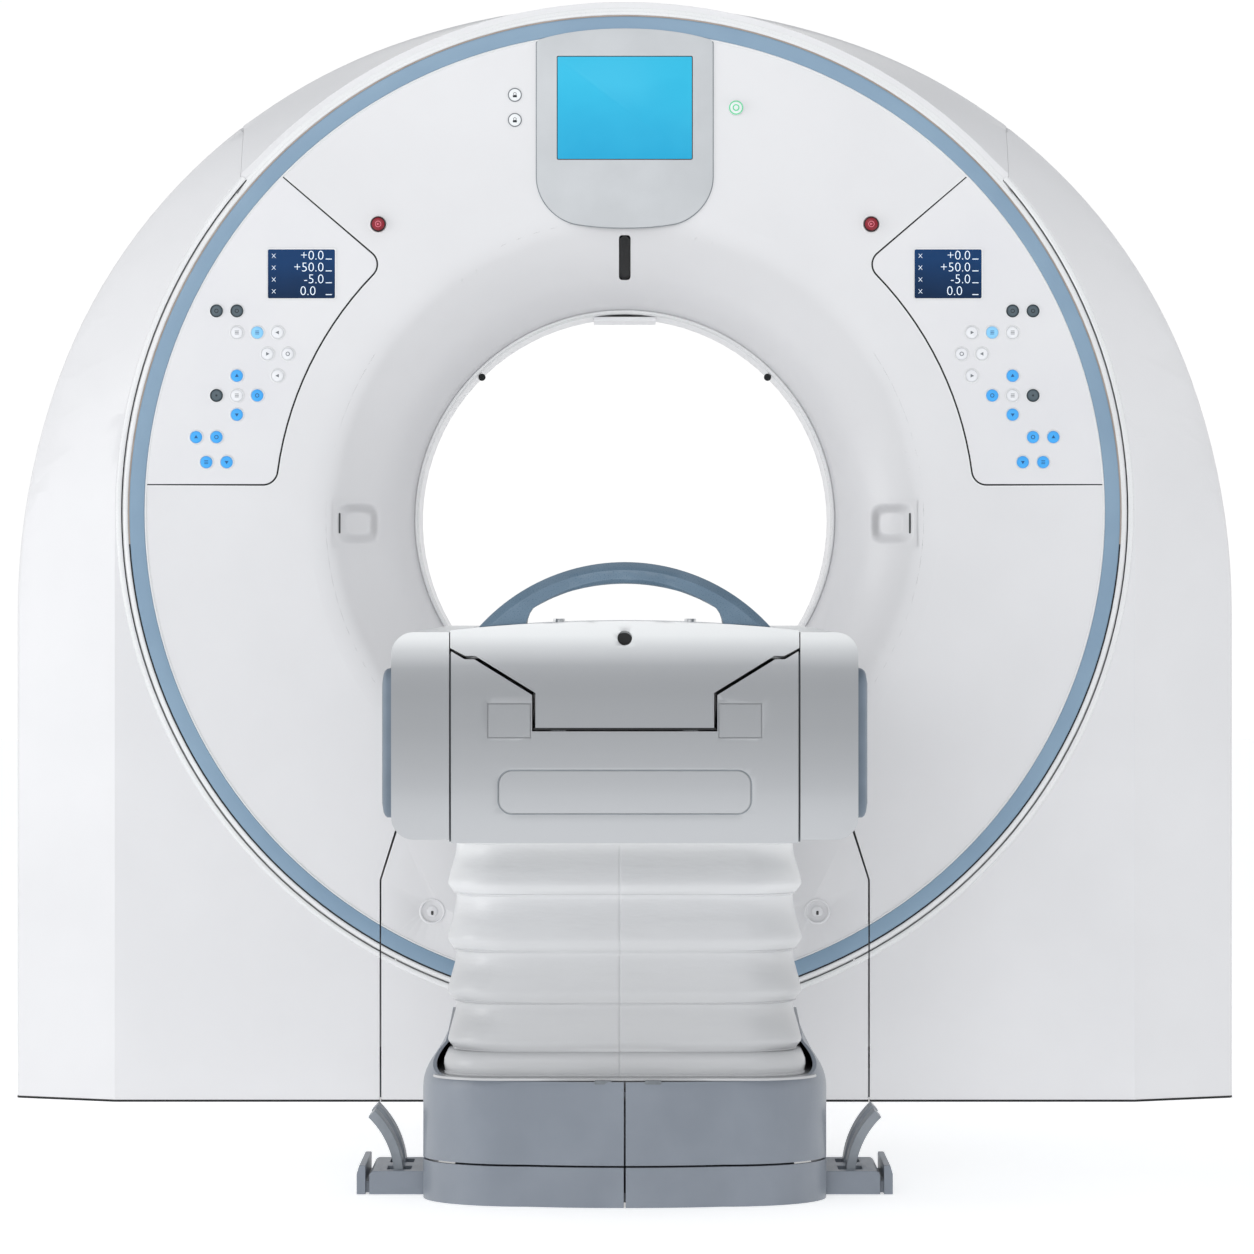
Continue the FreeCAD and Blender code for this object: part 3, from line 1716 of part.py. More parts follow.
def shoulder_cut(front):
    """What is cut from the top of the base cover, so that its sides rise above its ends."""
    sign = -1 if front else 1
    edge = s.column_y + (s.base_half_length + 5) * sign
    start = s.column_y + (s.base_half_length - s.base_shoulder_setback) * sign
    finish = s.column_y + (s.base_half_length - s.base_shoulder_setback - s.base_shoulder_run) * sign
    top = s.base_shoulder
    corners = [(edge, s.base_rim), (start, s.base_rim), (finish, top + 1), (edge, top + 1)]
    bend = s.base_shoulder_run * 1.2
    wide = s.base_half_width + 5
    if front:
        return side_prism(corners, {1: bend}, -wide, wide * 2)
    mirrored_corners = [corners[0], corners[3], corners[2], corners[1]]
    return side_prism(mirrored_corners, {2: bend}, -wide, wide * 2)


def make_couch_base():
    y = s.column_y
    wall = s.base_wall
    seam = s.cover_seam
    low = s.base_seam_height
    skirt = plan_prism(*base_plan(0), 0, low - seam, y)
    skirt_hollow = plan_prism(*base_plan(wall), -1, low + 2, y)
    notch_half = s.link_plate_half_width + s.panel_seam
    notch = block((-notch_half, y, -1), (notch_half, y * 0.5, s.link_plate + s.panel_seam))
    keep(cut(skirt, skirt_hollow, notch), "base_skirt")
    high = s.base_shoulder
    cover = plan_prism(*base_plan(0), low + seam, high - low - seam, y)
    cover_hollow = plan_prism(*base_plan(wall), low - 1, high - low + 2, y)
    keep(cut(cover, cover_hollow, shoulder_cut(True), shoulder_cut(False)), "base_cover")

    deck_top = s.bellows_bottom
    deck = plan_prism(*base_plan(wall), deck_top - s.deck_thickness, s.deck_thickness, y)
    hole = s.column_outer_half
    opening = block((-hole, y - hole, 0), (hole, y + hole, deck_top + 1))
    wide = s.couch_anchor_reach + s.deck_post * 1.5
    long = s.couch_anchor_pitch / 2 + s.deck_post * 0.8
    floor = block((-wide, y - long, 0), (wide, y + long, s.floor_plate))
    posts = []
    holes = []
    half_post = s.deck_post / 2
    for side in (-1, 1):
        for end in (-1, 1):
            x = s.couch_anchor_reach * side
            anchor_y = y + s.couch_anchor_pitch / 2 * end
            post_y = y + (s.couch_anchor_pitch / 2 - s.deck_post * 2) * end
            posts.append(
                block(
                    (x - half_post, post_y - half_post, s.floor_plate - 1),
                    (x + half_post, post_y + half_post, deck_top - s.deck_thickness + 1),
                )
            )
            holes.append(rod(s.anchor_hole_radius, (x, anchor_y, -1), "z", s.floor_plate + 2))
    keep(fuse(cut(deck, opening), cut(floor, *holes), *posts), "couch_base_frame")
    link = block(
        (-s.link_plate_half_width, y + long, 0),
        (s.link_plate_half_width, -s.base_frame_half_depth, s.link_plate),
    )
    keep(link, "floor_link_plate")


def make_pedals():
    y = s.tray_y - s.tray_length / 2
    back = s.tray_y + s.tray_length / 2
    inner = s.base_half_width
    tray = new_body((0, y, 0))
    outline = [(inner, 0), (s.tray_outer, 0), (s.tray_outer, s.tray_tall), (inner, s.tray_tall)]
    pad(tray, draw(new_sketch(tray, "XZ_Plane"), outline), s.tray_length)
    round_edges(
        tray,
        s.tray_round,
        lambda edge: is_corner(edge, s.tray_outer, s.tray_tall, "y"),
    )
    guard = front_prism(
        [
            (s.guard_inner, 0),
            (s.guard_outer, 0),
            (s.guard_outer, s.guard_tall * 0.7),
            (s.guard_outer - 4, s.guard_tall),
            (s.guard_inner, s.guard_tall),
        ],
        None,
        y,
        s.tray_length,
    )
    spacer = block(
        (s.tray_outer, y + 12, 2),
        (s.guard_inner, back - 12, s.tray_tall * 0.55),
    )
    pivot_x = s.pedal_pivot_reach
    pivot_z = s.pedal_pivot_height
    slots = []
    pedals = {}
    for name, end in (("front", -1), ("rear", 1)):
        middle = s.tray_y + s.pedal_pitch / 2 * end
        half = s.pedal_width / 2 + 3
        slot_half = s.pedal_slot_half
        slots.append(
            block(
                (pivot_x - slot_half, middle - half, pivot_z - s.pedal_hub_radius - 2),
                (pivot_x + slot_half, middle + half, s.tray_tall + 1),
            )
        )
        pedals[name] = make_lever(middle - s.pedal_width / 2)
    pin = rod(s.pedal_pin_radius, (pivot_x, y, pivot_z), "y", s.tray_length)
    right = fuse(cut(fuse(tray, guard, spacer), *slots), pin)
    keep(fuse(right, mirrored(right)), "pedal_trays")
    for name, lever in pedals.items():
        keep(lever, f"right_{name}_pedal")
        keep(mirrored(lever), f"left_{name}_pedal")


def make_lever(near):
    """A pedal lever that rises from its hub and curves outwards to a foot pad."""
    x = s.pedal_pivot_reach
    z = s.pedal_pivot_height
    half = s.pedal_thickness / 2
    radius = s.pedal_bend_radius
    out, up = s.pedal_out, s.pedal_up
    lean = up / radius
    level = (radius - out) / radius
    tip_x = x + out
    tip_z = z + up
    body = front_prism(
        [
            (x - half, z),
            (x + half, z),
            (tip_x + half * level, tip_z - half * lean),
            (tip_x - half * level, tip_z + half * lean),
        ],
        {1: -(radius - half), 3: radius + half},
        near,
        s.pedal_width,
    )
    hub = rod(s.pedal_hub_radius, (x, near, z), "y", s.pedal_width)
    bore = rod(s.pedal_pin_radius + s.pedal_pin_clearance, (x, near - 1, z), "y", s.pedal_width + 2)
    return cut(fuse(body, hub), bore)


# ---- build --------------------------------------------------------------------------------------


def build():
    fill_sheet()
    make_housing()
    make_base_frame()
    make_towers()
    make_tilt_drives()
    make_tilt_frame()
    make_rotor()
    make_front_cover()
    make_rear_cover()
    make_rings()
    make_display()
    make_consoles()
    make_buttons()
    make_bore()
    make_carriage()
    make_handle()
    make_side_covers()
    make_couch_frame()
    make_column()
    make_bellows()
    make_couch_base()
    make_pedals()
    doc.recompute()


def check_and_write():
    for thing in doc.Objects:
        if "Invalid" in thing.State or "Error" in thing.State:
            raise ValueError(f"{thing.Name} ({thing.Label}) failed: {thing.State}")
    os.makedirs("parts", exist_ok=True)
    for thing in nodes:
        shape = thing.Shape
        if shape.isNull() or not shape.isValid() or not shape.Solids:
            raise ValueError(f"{thing.Label} has no valid solid")
        shape.exportStep(os.path.join("parts", thing.Label + ".step"))
    print(len(nodes), "pieces written")


build()
check_and_write()
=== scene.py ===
import json
import math

import bmesh
import bpy
from bmesh import ops
from mathutils import Matrix, Vector


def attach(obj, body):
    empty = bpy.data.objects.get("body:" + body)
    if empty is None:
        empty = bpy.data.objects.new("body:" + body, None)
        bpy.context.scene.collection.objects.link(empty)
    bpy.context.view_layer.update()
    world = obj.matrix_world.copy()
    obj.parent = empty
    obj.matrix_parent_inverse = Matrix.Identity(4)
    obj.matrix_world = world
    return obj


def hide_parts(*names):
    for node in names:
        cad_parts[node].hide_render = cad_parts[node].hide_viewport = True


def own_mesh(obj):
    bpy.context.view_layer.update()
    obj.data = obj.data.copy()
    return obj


# The looks of a ring scanner and its couch.  Metres, in the frame of the solids: X to the right,
# +Y from the couch into the bore, Z up from the floor.

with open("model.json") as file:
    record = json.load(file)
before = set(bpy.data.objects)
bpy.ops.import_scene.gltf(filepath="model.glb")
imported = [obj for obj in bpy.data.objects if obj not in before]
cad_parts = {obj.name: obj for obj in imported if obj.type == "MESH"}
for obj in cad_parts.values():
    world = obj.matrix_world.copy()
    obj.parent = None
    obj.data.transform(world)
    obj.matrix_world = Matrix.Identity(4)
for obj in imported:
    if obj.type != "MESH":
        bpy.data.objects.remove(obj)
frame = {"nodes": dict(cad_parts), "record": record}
scene = bpy.context.scene
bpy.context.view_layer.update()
record = frame["record"]
body_of_node = {
    node: body for body, nodes in record["behaviour"]["bodies"].items() for node in nodes
}
slot_of_node = {part["node"]: part["material_slot"] for part in record["subparts"]}

ACROSS, ALONG, UP = (1, 0, 0), (0, 1, 0), (0, 0, 1)
UPRIGHT = Matrix.Rotation(math.radians(90), 4, "X")  # stands a flat form up to face the couch

FACE = -0.4  # the front of the round disc
ISO = 1.094  # the height of the bore's axis
DISC = Vector((0, FACE, 1.106))  # the middle of the blue ring
FLARE_MOUTH = 0.556  # the radius at which the flare's cone would meet the face
FLARE_SLOPE = 1.708  # how far the cone goes back for each metre inwards
FLARE_REACH = 0.66  # nothing of the flare is further out than this
HOOD_EDGE = 0.7195  # half the hood's width, where it meets the standing covers
COUCH_END = -2.75
COLUMN_Y = -1.975
BELLOWS_FOOT = 0.18


# ---- camera, light and floor ----


def placed(name, data):
    """A new object in the scene."""
    thing = bpy.data.objects.new(name, data)
    scene.collection.objects.link(thing)
    return thing


def mesh_of(form, name):
    mesh = bpy.data.meshes.new(name)
    form.to_mesh(mesh)
    form.free()
    return mesh


def set_camera():
    """Level with the couch top and far back, as a long lens in the room would stand."""
    camera = bpy.data.cameras.new("photo_camera")
    camera.sensor_width = 36
    camera.lens = 185.3
    camera.shift_x = 0.0018
    camera.shift_y = -0.0255
    camera.clip_end = 60
    holder = placed("photo_camera", camera)
    holder.location = (0, -12.5, 0.95)
    holder.rotation_euler = (math.radians(90), 0, 0)
    scene.camera = holder


def add_light(name, place, aim, size, power):
    light = bpy.data.lights.new(name, "AREA")
    light.shape = "RECTANGLE"
    light.size, light.size_y = size
    light.energy = power
    holder = placed(name, light)
    holder.location = place
    holder.rotation_euler = (Vector(aim) - Vector(place)).to_track_quat("-Z", "Y").to_euler()


def set_room():
    """A white studio, a little darker at eye height behind the camera and at the ceiling."""
    world = bpy.data.worlds.new("white_room")
    world.use_nodes = True
    tree = world.node_tree
    tree.nodes.clear()
    way = add(tree, "TexCoord").outputs["Generated"]
    split = add(tree, "SeparateXYZ", {"Vector": way})
    height = add(tree, "Math", {0: split.outputs["Z"]}, operation="ABSOLUTE")
    # the camera's end is darker, most of all at eye height, and so is the ceiling, so that what
    # faces up isn't bleached
    ends = (
        (split.outputs["Y"], -0.25, -0.85, 1.0), (height, 0.42, 0.04, 1.0),
        (split.outputs["Z"], 0.45, 0.75, 1.0), (split.outputs["Y"], -0.1, -0.45, 0.45),
    )
    behind, level, ceiling, front = (add(
        tree, "MapRange", {"Value": value, "From Min": start, "From Max": end, "To Max": most},
        interpolation_type="SMOOTHSTEP",
    ) for value, start, end, most in ends)
    dim = behind
    for other, operation in ((level, "MULTIPLY"), (ceiling, "MAXIMUM"), (front, "MAXIMUM")):
        dim = add(tree, "Math", {0: dim, 1: other}, operation=operation)
    colour = ramp(tree, dim, [(0.0, "#ffffff"), (1.0, "#8f9397")])
    light = add(tree, "Background", {"Color": colour, "Strength": 1.02})
    add(tree, "OutputWorld", {"Surface": light})
    scene.world = world


def set_studio():
    scene.view_settings.view_transform = "Standard"
    set_room()
    add_light("ceiling_bank", (0.0, -1.5, 5.5), (0, -0.6, 0.9), (5, 3), 20)
    add_light("front_bank", (-1.5, -9.0, 3.8), (0, -0.8, 0.9), (6, 3), 60)
    # the brightest bank is at the left, so that what curves away to the right is darker
    add_light("left_bank", (-6.5, -3.6, 1.5), (0, -2.2, 0.7), (3, 3), 62)
    # as even as a wide fill far behind the camera: it reaches in under the couch
    sun = bpy.data.lights.new("far_fill", "SUN")
    sun.energy = 1.02
    sun.angle = math.radians(20)
    holder = placed("far_fill", sun)
    holder.rotation_euler = Vector((0.06, 1, -0.04)).to_track_quat("-Z", "Y").to_euler()
    holder.visible_glossy = False
    form = bmesh.new()
    ops.create_grid(form, x_segments=1, y_segments=1, size=30)
    floor = placed("floor", mesh_of(form, "floor"))
    floor.data.materials.append(studio_floor())


# ---- materials ----


def paint(code):
    """An sRGB hex colour as the linear numbers that a shader reads."""
    values = [int(code[place:place + 2], 16) / 255 for place in (1, 3, 5)]
    linear = [v / 12.92 if v <= 0.04045 else ((v + 0.055) / 1.055) ** 2.4 for v in values]
    return (*linear, 1.0)


def add(tree, kind, links=None, **settings):
    """One node: settings are its own, and links go to its sockets.

    A link is a value, another node's output, or another node, which gives its first output.
    """
    node = tree.nodes.new("ShaderNode" + kind)
    for name, value in settings.items():
        setattr(node, name, value)
    for name, value in (links or {}).items():
        socket = node.inputs[name]
        if isinstance(value, bpy.types.Node):
            value = value.outputs[0]
        if isinstance(value, bpy.types.NodeSocket):
            tree.links.new(value, socket)
        else:
            socket.default_value = value
    return node


def start_material(name):
    material = bpy.data.materials.new(name)
    material.use_nodes = True
    tree = material.node_tree
    tree.nodes.clear()
    place = add(tree, "TexCoord").outputs["Object"]
    return material, tree, place


def finish_material(tree, sockets):
    shader = add(tree, "BsdfPrincipled", sockets)
    add(tree, "OutputMaterial", {"Surface": shader})


def finish_grained(tree, colour, grain, gloss, bump, sockets, height=None):
    """Finishes a material whose gloss and relief follow a grain.

    gloss says between which of the grain's values the roughness goes from one number to another,
    and bump how strong and how high in metres the relief is.
    """
    start, end, smooth, rough = gloss
    sheen = add(
        tree, "MapRange",
        {"Value": grain, "From Min": start, "From Max": end, "To Min": smooth, "To Max": rough},
    )
    strength, distance = bump
    height = grain if height is None else height
    relief = add(tree, "Bump", {"Height": height, "Strength": strength, "Distance": distance})
    grained = {"Base Color": colour, "Roughness": sheen, "Normal": relief}
    finish_material(tree, grained | sockets)


def per_metre(millimetres):
    """The scale of a pattern whose features are this far apart."""
    return 1000 / millimetres


def ramp(tree, factor, stops):
    node = add(tree, "ValToRGB", {"Fac": factor})
    elements = node.color_ramp.elements
    while len(elements) < len(stops):
        elements.new(0.5)
    for element, (position, code) in zip(elements, stops):
        element.position = position
        element.color = paint(code)
    return node


def skin(name, light, dark, roughness, patch, grain, bump, coat=0.0, glow=0.0):
    """A moulded or painted skin: a slow drift of tone, a fine grain, and a changing gloss.

    patch and grain are the sizes in millimetres of the drift and of the grain, and bump is the
    grain's height in millimetres.
    """
    material, tree, place = start_material(name)
    drift = add(tree, "TexNoise", {"Vector": place, "Scale": per_metre(patch), "Detail": 3.0})
    colour = ramp(tree, drift, [(0.35, dark), (0.65, light)])
    fine = add(tree, "TexNoise", {"Vector": place, "Scale": per_metre(grain), "Detail": 2.0})
    gloss = (0.3, 0.7, roughness - 0.05, roughness + 0.05)
    sockets = {"Coat Weight": coat, "Coat Roughness": 0.08}
    if glow:
        sockets |= {"Emission Color": paint(light), "Emission Strength": glow}
    finish_grained(tree, colour, fine, gloss, (0.6, bump / 1000), sockets)
    return material


def brushed_metal(name, light, dark, roughness, stretch):
    """Metal drawn or turned in one direction: fine lines along it, and a soft sheen across them."""
    material, tree, place = start_material(name)
    along = add(tree, "Mapping", {"Vector": place, "Scale": stretch})
    lines = add(tree, "TexNoise", {"Vector": along, "Scale": per_metre(3), "Detail": 6.0})
    colour = ramp(tree, lines, [(0.3, dark), (0.7, light)])
    gloss = (0, 1, roughness - 0.08, roughness + 0.08)
    finish_grained(tree, colour, lines, gloss, (0.3, 0.0002), {"Metallic": 1.0})
    return material


def lit_glass(name, low, high, bottom, top, glow):
    """Backlit glass: an even glow that lifts a little towards the top, under a glossy front."""
    material, tree, place = start_material(name)
    split = add(tree, "SeparateXYZ", {"Vector": place})
    rise = add(tree, "MapRange", {"Value": split.outputs["Z"], "From Min": bottom, "From Max": top})
    cloud = add(tree, "TexNoise", {"Vector": place, "Scale": per_metre(90)})
    shade = add(tree, "Math", {0: cloud, 1: 0.5, 2: rise}, operation="MULTIPLY_ADD")
    colour = ramp(tree, shade, [(0.1, low), (1.3, high)])
    sockets = {
        "Base Color": colour, "Emission Color": colour, "Emission Strength": glow,
        "Roughness": 0.25, "Specular IOR Level": 0.25,
    }
    finish_material(tree, sockets)
    return material


def bellows_cloth():
    """Polyester coated with soft vinyl: smooth and glossy, with slack creases round each pleat."""
    material, tree, place = start_material("coated_bellows_cloth")
    drift = add(tree, "TexNoise", {"Vector": place, "Scale": per_metre(140), "Detail": 3.0})
    # the colour is darker towards the foot of the sleeve and lighter towards the top: a painted
    # shade
    split = add(tree, "SeparateXYZ", {"Vector": place})
    height = add(
        tree, "MapRange", {"Value": split.outputs["Z"], "From Min": BELLOWS_FOOT, "From Max": 0.58}
    )
    shade = add(tree, "Math", {0: drift, 1: 0.12, 2: height}, operation="MULTIPLY_ADD")
    painted_shade_stops = [(0.1, "#bdbec0"), (0.35, "#bbbcbe"), (0.55, "#c6c7c9")]
    colour = ramp(tree, shade, painted_shade_stops + [(0.8, "#d6d7d9"), (1.0, "#e4e5e6")])
    flat = add(tree, "Mapping", {"Vector": place, "Scale": (1, 1, 3.5)})
    slack = add(tree, "TexNoise", {"Vector": flat, "Scale": per_metre(160), "Detail": 4.0})
    weave = add(tree, "TexNoise", {"Vector": place, "Scale": per_metre(1.5), "Detail": 1.0})
    creases = add(tree, "Math", {0: weave, 1: 0.02, 2: slack}, operation="MULTIPLY_ADD")
    gloss, coat = (0, 1, 0.32, 0.42), {"Coat Weight": 0.2, "Coat Roughness": 0.2}
    finish_grained(tree, colour, weave, gloss, (0.5, 0.006), coat, creases)
    return material


def flake_paint_with_painted_light(name, lift):
    """ABS painted with fine metal flake, with light and shade painted into its colour by height.

    So the paint is darker in a painted shade band below the rolled top edge, with a painted
    highlight at that edge and lighter again towards the foot.
    """
    material, tree, place = start_material(name)
    split = add(tree, "SeparateXYZ", {"Vector": place})
    low, high = 0.57, 0.92
    sockets = {"Value": split.outputs["Z"], "From Min": low, "From Max": high}
    height = add(tree, "MapRange", sockets | {"To Min": lift, "To Max": 1 + lift})
    # painted light by height: highlight at the top edge, shade band below it, lighter again at the
    # foot
    stops = [
        (0.0, "#c0c2c5"), (0.22, "#c1c3c6"), (0.37, "#b5b7ba"), (0.52, "#abadb0"),
        (0.66, "#a7a9ac"), (0.78, "#aaacaf"), (0.86, "#c3c5c7"), (0.91, "#d8dadb"),
        (1.0, "#e2e3e4"),
    ]
    colour = ramp(tree, height, stops)
    flake = add(tree, "TexNoise", {"Vector": place, "Scale": per_metre(1.6), "Detail": 2.0})
    sockets = {"Metallic": 0.8, "Coat Weight": 0.1, "Coat Roughness": 0.08}
    gloss, bump = (0, 1, 0.28, 0.42), (0.4, 0.00001)
    finish_grained(tree, colour, flake, gloss, bump, sockets)
    return material


def studio_floor():
    """Pale seamless vinyl: nearly white, so that it meets the white room without a line."""
    material, tree, place = start_material("studio_floor")
    grain = add(tree, "TexNoise", {"Vector": place, "Scale": per_metre(400), "Detail": 2.0})
    colour = ramp(tree, grain, [(0.3, "#f1f1f1"), (0.7, "#f5f5f5")])
    sockets = {
        "Base Color": colour, "Roughness": 0.8, "Specular IOR Level": 0.2,
        "Emission Color": paint("#ffffff"), "Emission Strength": 0.5,
    }
    finish_material(tree, sockets)
    return material


def make_finishes():
    """Every finish of the object, by the name of the record's slot or of the detail."""
    # glass-fibre covers in satin white paint: an even, faintly rippled gloss
    white = skin("painted_glass_fibre", "#dedee0", "#dbdbdd", 0.36, 260, 5, 0.03, coat=0.15)
    return {
        "white_cover": white,
        "rim_white": skin("white_abs_bead", "#e4e5e6", "#e0e1e2", 0.3, 120, 3, 0.02, coat=0.25),
        # moulded ABS in a soft blue, the same all through
        "ring_blue": skin("blue_abs", "#849eb4", "#7e98af", 0.38, 150, 3, 0.02, coat=0.1),
        "console_white": skin("console_abs", "#e0e0e2", "#dddde0", 0.36, 200, 3, 0.02, coat=0.2),
        "panel_grey": skin("display_bezel_abs", "#c4c7ca", "#bfc2c5", 0.33, 80, 2, 0.015, coat=0.2),
        "screen_cyan": lit_glass("display_glass", "#1787ae", "#2c9cbc", 1.765, 1.96, 0.5),
        "readout_navy": lit_glass("readout_glass", "#021932", "#06305a", 1.5, 1.6, 0.28),
        # silicone rubber keys; the blue and pale ones glow a little, a painted light, not a lamp
        # behind them
        "key_blue": skin("blue_key_rubber", "#3f9fe2", "#3a9adf", 0.4, 20, 1.5, 0.02, glow=0.2),
        "key_pale": skin(
            "pale_blue_key_rubber", "#86c4ea", "#7ebee7", 0.4, 20, 1.5, 0.02, glow=0.15
        ),
        "key_white": skin("white_key_rubber", "#e9eaed", "#e4e5e9", 0.4, 20, 1.5, 0.02),
        "key_dark": skin("dark_key_rubber", "#56646c", "#4e5c64", 0.4, 20, 1.5, 0.02),
        "key_collar": skin("dark_key_collar", "#27343b", "#202c33", 0.35, 20, 1.5, 0.02),
        "mark_navy": skin("navy_print", "#1b568f", "#174f86", 0.5, 10, 1, 0.0),
        "mark_grey": skin("grey_print", "#74797e", "#6b7075", 0.5, 10, 1, 0.0),
        # black print for signs; also painted shade for the hand trays' slits
        "mark_black": skin("black_print_and_painted_shade", "#1d242a", "#161c21", 0.5, 10, 1, 0.0),
        # the rose print glows a little: a painted light on a print with no lamp
        "sign_rose": skin("rose_print", "#e07d8e", "#d87284", 0.4, 10, 1, 0.0, glow=0.15),
        "digit_white": skin("lit_digits", "#dfeaf5", "#d6e4f2", 0.4, 10, 1, 0.0, glow=0.3),
        "ring_edge": skin("bronze_edge_trim", "#a89a90", "#9b8d83", 0.35, 40, 2, 0.01),
        "lamp_clear": skin("lamp_lens", "#eceef0", "#e4e7e9", 0.25, 20, 2, 0.01, coat=0.5),
        "stop_red": skin("red_acetal", "#8d0c22", "#7f0a1e", 0.3, 10, 1, 0.01, coat=0.2),
        "start_green": skin("green_ring_lens", "#52bd86", "#48b47d", 0.3, 10, 1, 0.01, glow=0.3),
        "dark_insert": skin("moulded_grey_insert", "#dfe1e3", "#d7dadc", 0.4, 60, 2, 0.02),
        # smoked acrylic for the glass edges and laser lenses; also painted shade for the keyholes
        # and microphone hole
        "window_smoke": skin("smoked_acrylic_and_painted_shade", "#101316", "#08090a", 0.12, 40, 4, 0.0, coat=0.6),
        # grey joint round the display bezel; also painted shade round the couch's hand panel
        "joint_grey": skin("grey_joint_and_painted_shade", "#8b9196", "#82888d", 0.5, 30, 2, 0.01),
        # black standing for shade: painted shade in gaps, holes, seats and along the foot
        "shadow_seal": skin("black_painted_shade", "#141517", "#0c0d0e", 0.6, 30, 2, 0.02),
        "tunnel_white": skin("bore_liner", "#f3f3f4", "#eeeef0", 0.38, 200, 4, 0.02),
        "lock_steel": brushed_metal("nickel_plate", "#c9cbcd", "#a9abae", 0.28, (1, 1, 8)),
        "steel_frame": skin("grey_enamel_steel", "#6b7076", "#60656b", 0.45, 180, 4, 0.05),
        "cast_alloy": brushed_metal("machined_alloy", "#c2c4c6", "#a2a4a7", 0.38, (1, 8, 1)),
        "bearing_steel": brushed_metal("ground_steel", "#a7a9ac", "#85878a", 0.3, (1, 8, 1)),
        "slip_brass": brushed_metal("turned_brass", "#c9a35a", "#a98441", 0.3, (1, 8, 1)),
        "couch_silver": flake_paint_with_painted_light("silver_flake_paint", 0.0),
        "couch_cover": flake_paint_with_painted_light("pale_flake_paint", 0.012),
        "pad_slate": skin("slate_polyurethane", "#6e7b89", "#65727f", 0.5, 60, 2, 0.06),
        "cradle_carbon": skin("laminated_cradle", "#dfe1e3", "#d6d8db", 0.35, 120, 2, 0.02),
        "handle_slate": skin("slate_gloss_abs", "#61788b", "#597083", 0.3, 60, 2, 0.02, coat=0.35),
        "column_steel": brushed_metal("drawn_column_steel", "#b9bbbd", "#9a9c9f", 0.32, (8, 8, 1)),
        "bellows_white": bellows_cloth(),
        "base_grey": skin("grey_blue_abs", "#818892", "#7a818b", 0.38, 110, 2, 0.02, coat=0.15),
        "pedal_grey": skin("grey_cast_pedal", "#8d939a", "#81878e", 0.36, 30, 2, 0.04, coat=0.2),
    }


# ---- shaping ----


def show(form, name, finish, nodes=(), smooth=35, body="gantry"):
    """Puts a finished form into the scene on its body, in place of the solids it stands for."""
    mesh = mesh_of(form, name)
    mesh.shade_smooth()
    mesh.set_sharp_from_angle(angle=math.radians(smooth))
    mesh.materials.append(finishes[finish])
    piece = placed(name, mesh)
    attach(piece, body)
    if nodes:
        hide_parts(*nodes)
    return piece


def points_of(made):
    return [part for part in made["geom"] if isinstance(part, bmesh.types.BMVert)]


def outward(form):
    """Turns every face outwards."""
    ops.recalc_face_normals(form, faces=form.faces)
    return form


def closed(form):
    """Fills the open ends."""
    ops.holes_fill(form, edges=[edge for edge in form.edges if edge.is_boundary])
    return outward(form)


def bevel(form, parts, width, steps, affect="VERTICES", **more):
    ops.bevel(
        form, geom=parts, offset=width, segments=steps, profile=0.5, affect=affect, material=-1,
        **more,
    )


def cut_at(form, place, across, faces=None, dist=1e-6, **more):
    """Cuts a form, or some of its faces, by a plane, so that it can bend or open there."""
    if faces is None:
        parts = form.verts[:] + form.edges[:] + form.faces[:]
    else:
        edges = {edge for face in faces for edge in face.edges}
        points = {vert for face in faces for vert in face.verts}
        parts = [*faces, *edges, *points]
    ops.bisect_plane(form, geom=parts, dist=dist, plane_co=place, plane_no=across, **more)


def sliced(form, across, start, gap, count):
    """Cuts a form all through at even steps along an axis."""
    for step in range(count):
        cut_at(form, Vector(across) * (start + step * gap), across)


def thickened(form, shift):
    """A flat form with a second face at a distance from the first, and sides between them."""
    made = ops.extrude_face_region(form, geom=form.faces[:])
    ops.translate(form, verts=points_of(made), vec=shift)
    return outward(form)


def flat_face(corners, radius=0.0, steps=6):
    """One flat face whose corners are rounded."""
    form = bmesh.new()
    points = [form.verts.new(corner) for corner in corners]
    form.faces.new(points)
    if radius:
        bevel(form, points, radius, steps)
    return form


def plate(corners, y, depth, radius=0.0, steps=6):
    """A plate seen from the front: its outline's corners, its front and its depth backwards."""
    form = flat_face([(x, y, z) for x, z in corners], radius, steps)
    return thickened(form, (0, depth, 0))


def panel_between(left, bottom, right, top, y, depth, radius=0.0, steps=6):
    corners = [(left, bottom), (right, bottom), (right, top), (left, top)]
    return plate(corners, y, depth, radius, steps)


def depth_of(face):
    return face.calc_center_median().y


def step_in(form, face, inset, shift):
    """Draws a face in from its own edge and moves it."""
    ops.inset_region(form, faces=[face], thickness=inset)
    ops.translate(form, verts=face.verts[:], vec=shift)


def round_front(form, width):
    """Rounds the edges of a plate's front face."""
    nearest = min(vert.co.y for vert in form.verts)
    edges = [edge for edge in form.edges if all(v.co.y < nearest + 1e-4 for v in edge.verts)]
    bevel(form, edges, width, 2, "EDGES", clamp_overlap=True)
    return form


def turned(profile, centre, steps=192, ring=True):
    """A profile of radius and depth in millimetres, turned about the bore's direction.

    A ring's profile is closed, and that of a solid piece starts and ends on the axis.
    """
    form = bmesh.new()
    x, y, z = centre
    points = [form.verts.new((x + out / 1000, y + back / 1000, z)) for out, back in profile]
    following = points[1:] + points[:1] if ring else points[1:]
    edges = [form.edges.new(pair) for pair in zip(points, following)]
    ops.spin(
        form, geom=points + edges, cent=centre, axis=ALONG, angle=math.tau, steps=steps,
        use_merge=True,
    )
    if not ring:
        ops.remove_doubles(form, verts=form.verts, dist=1e-6)
    return outward(form)


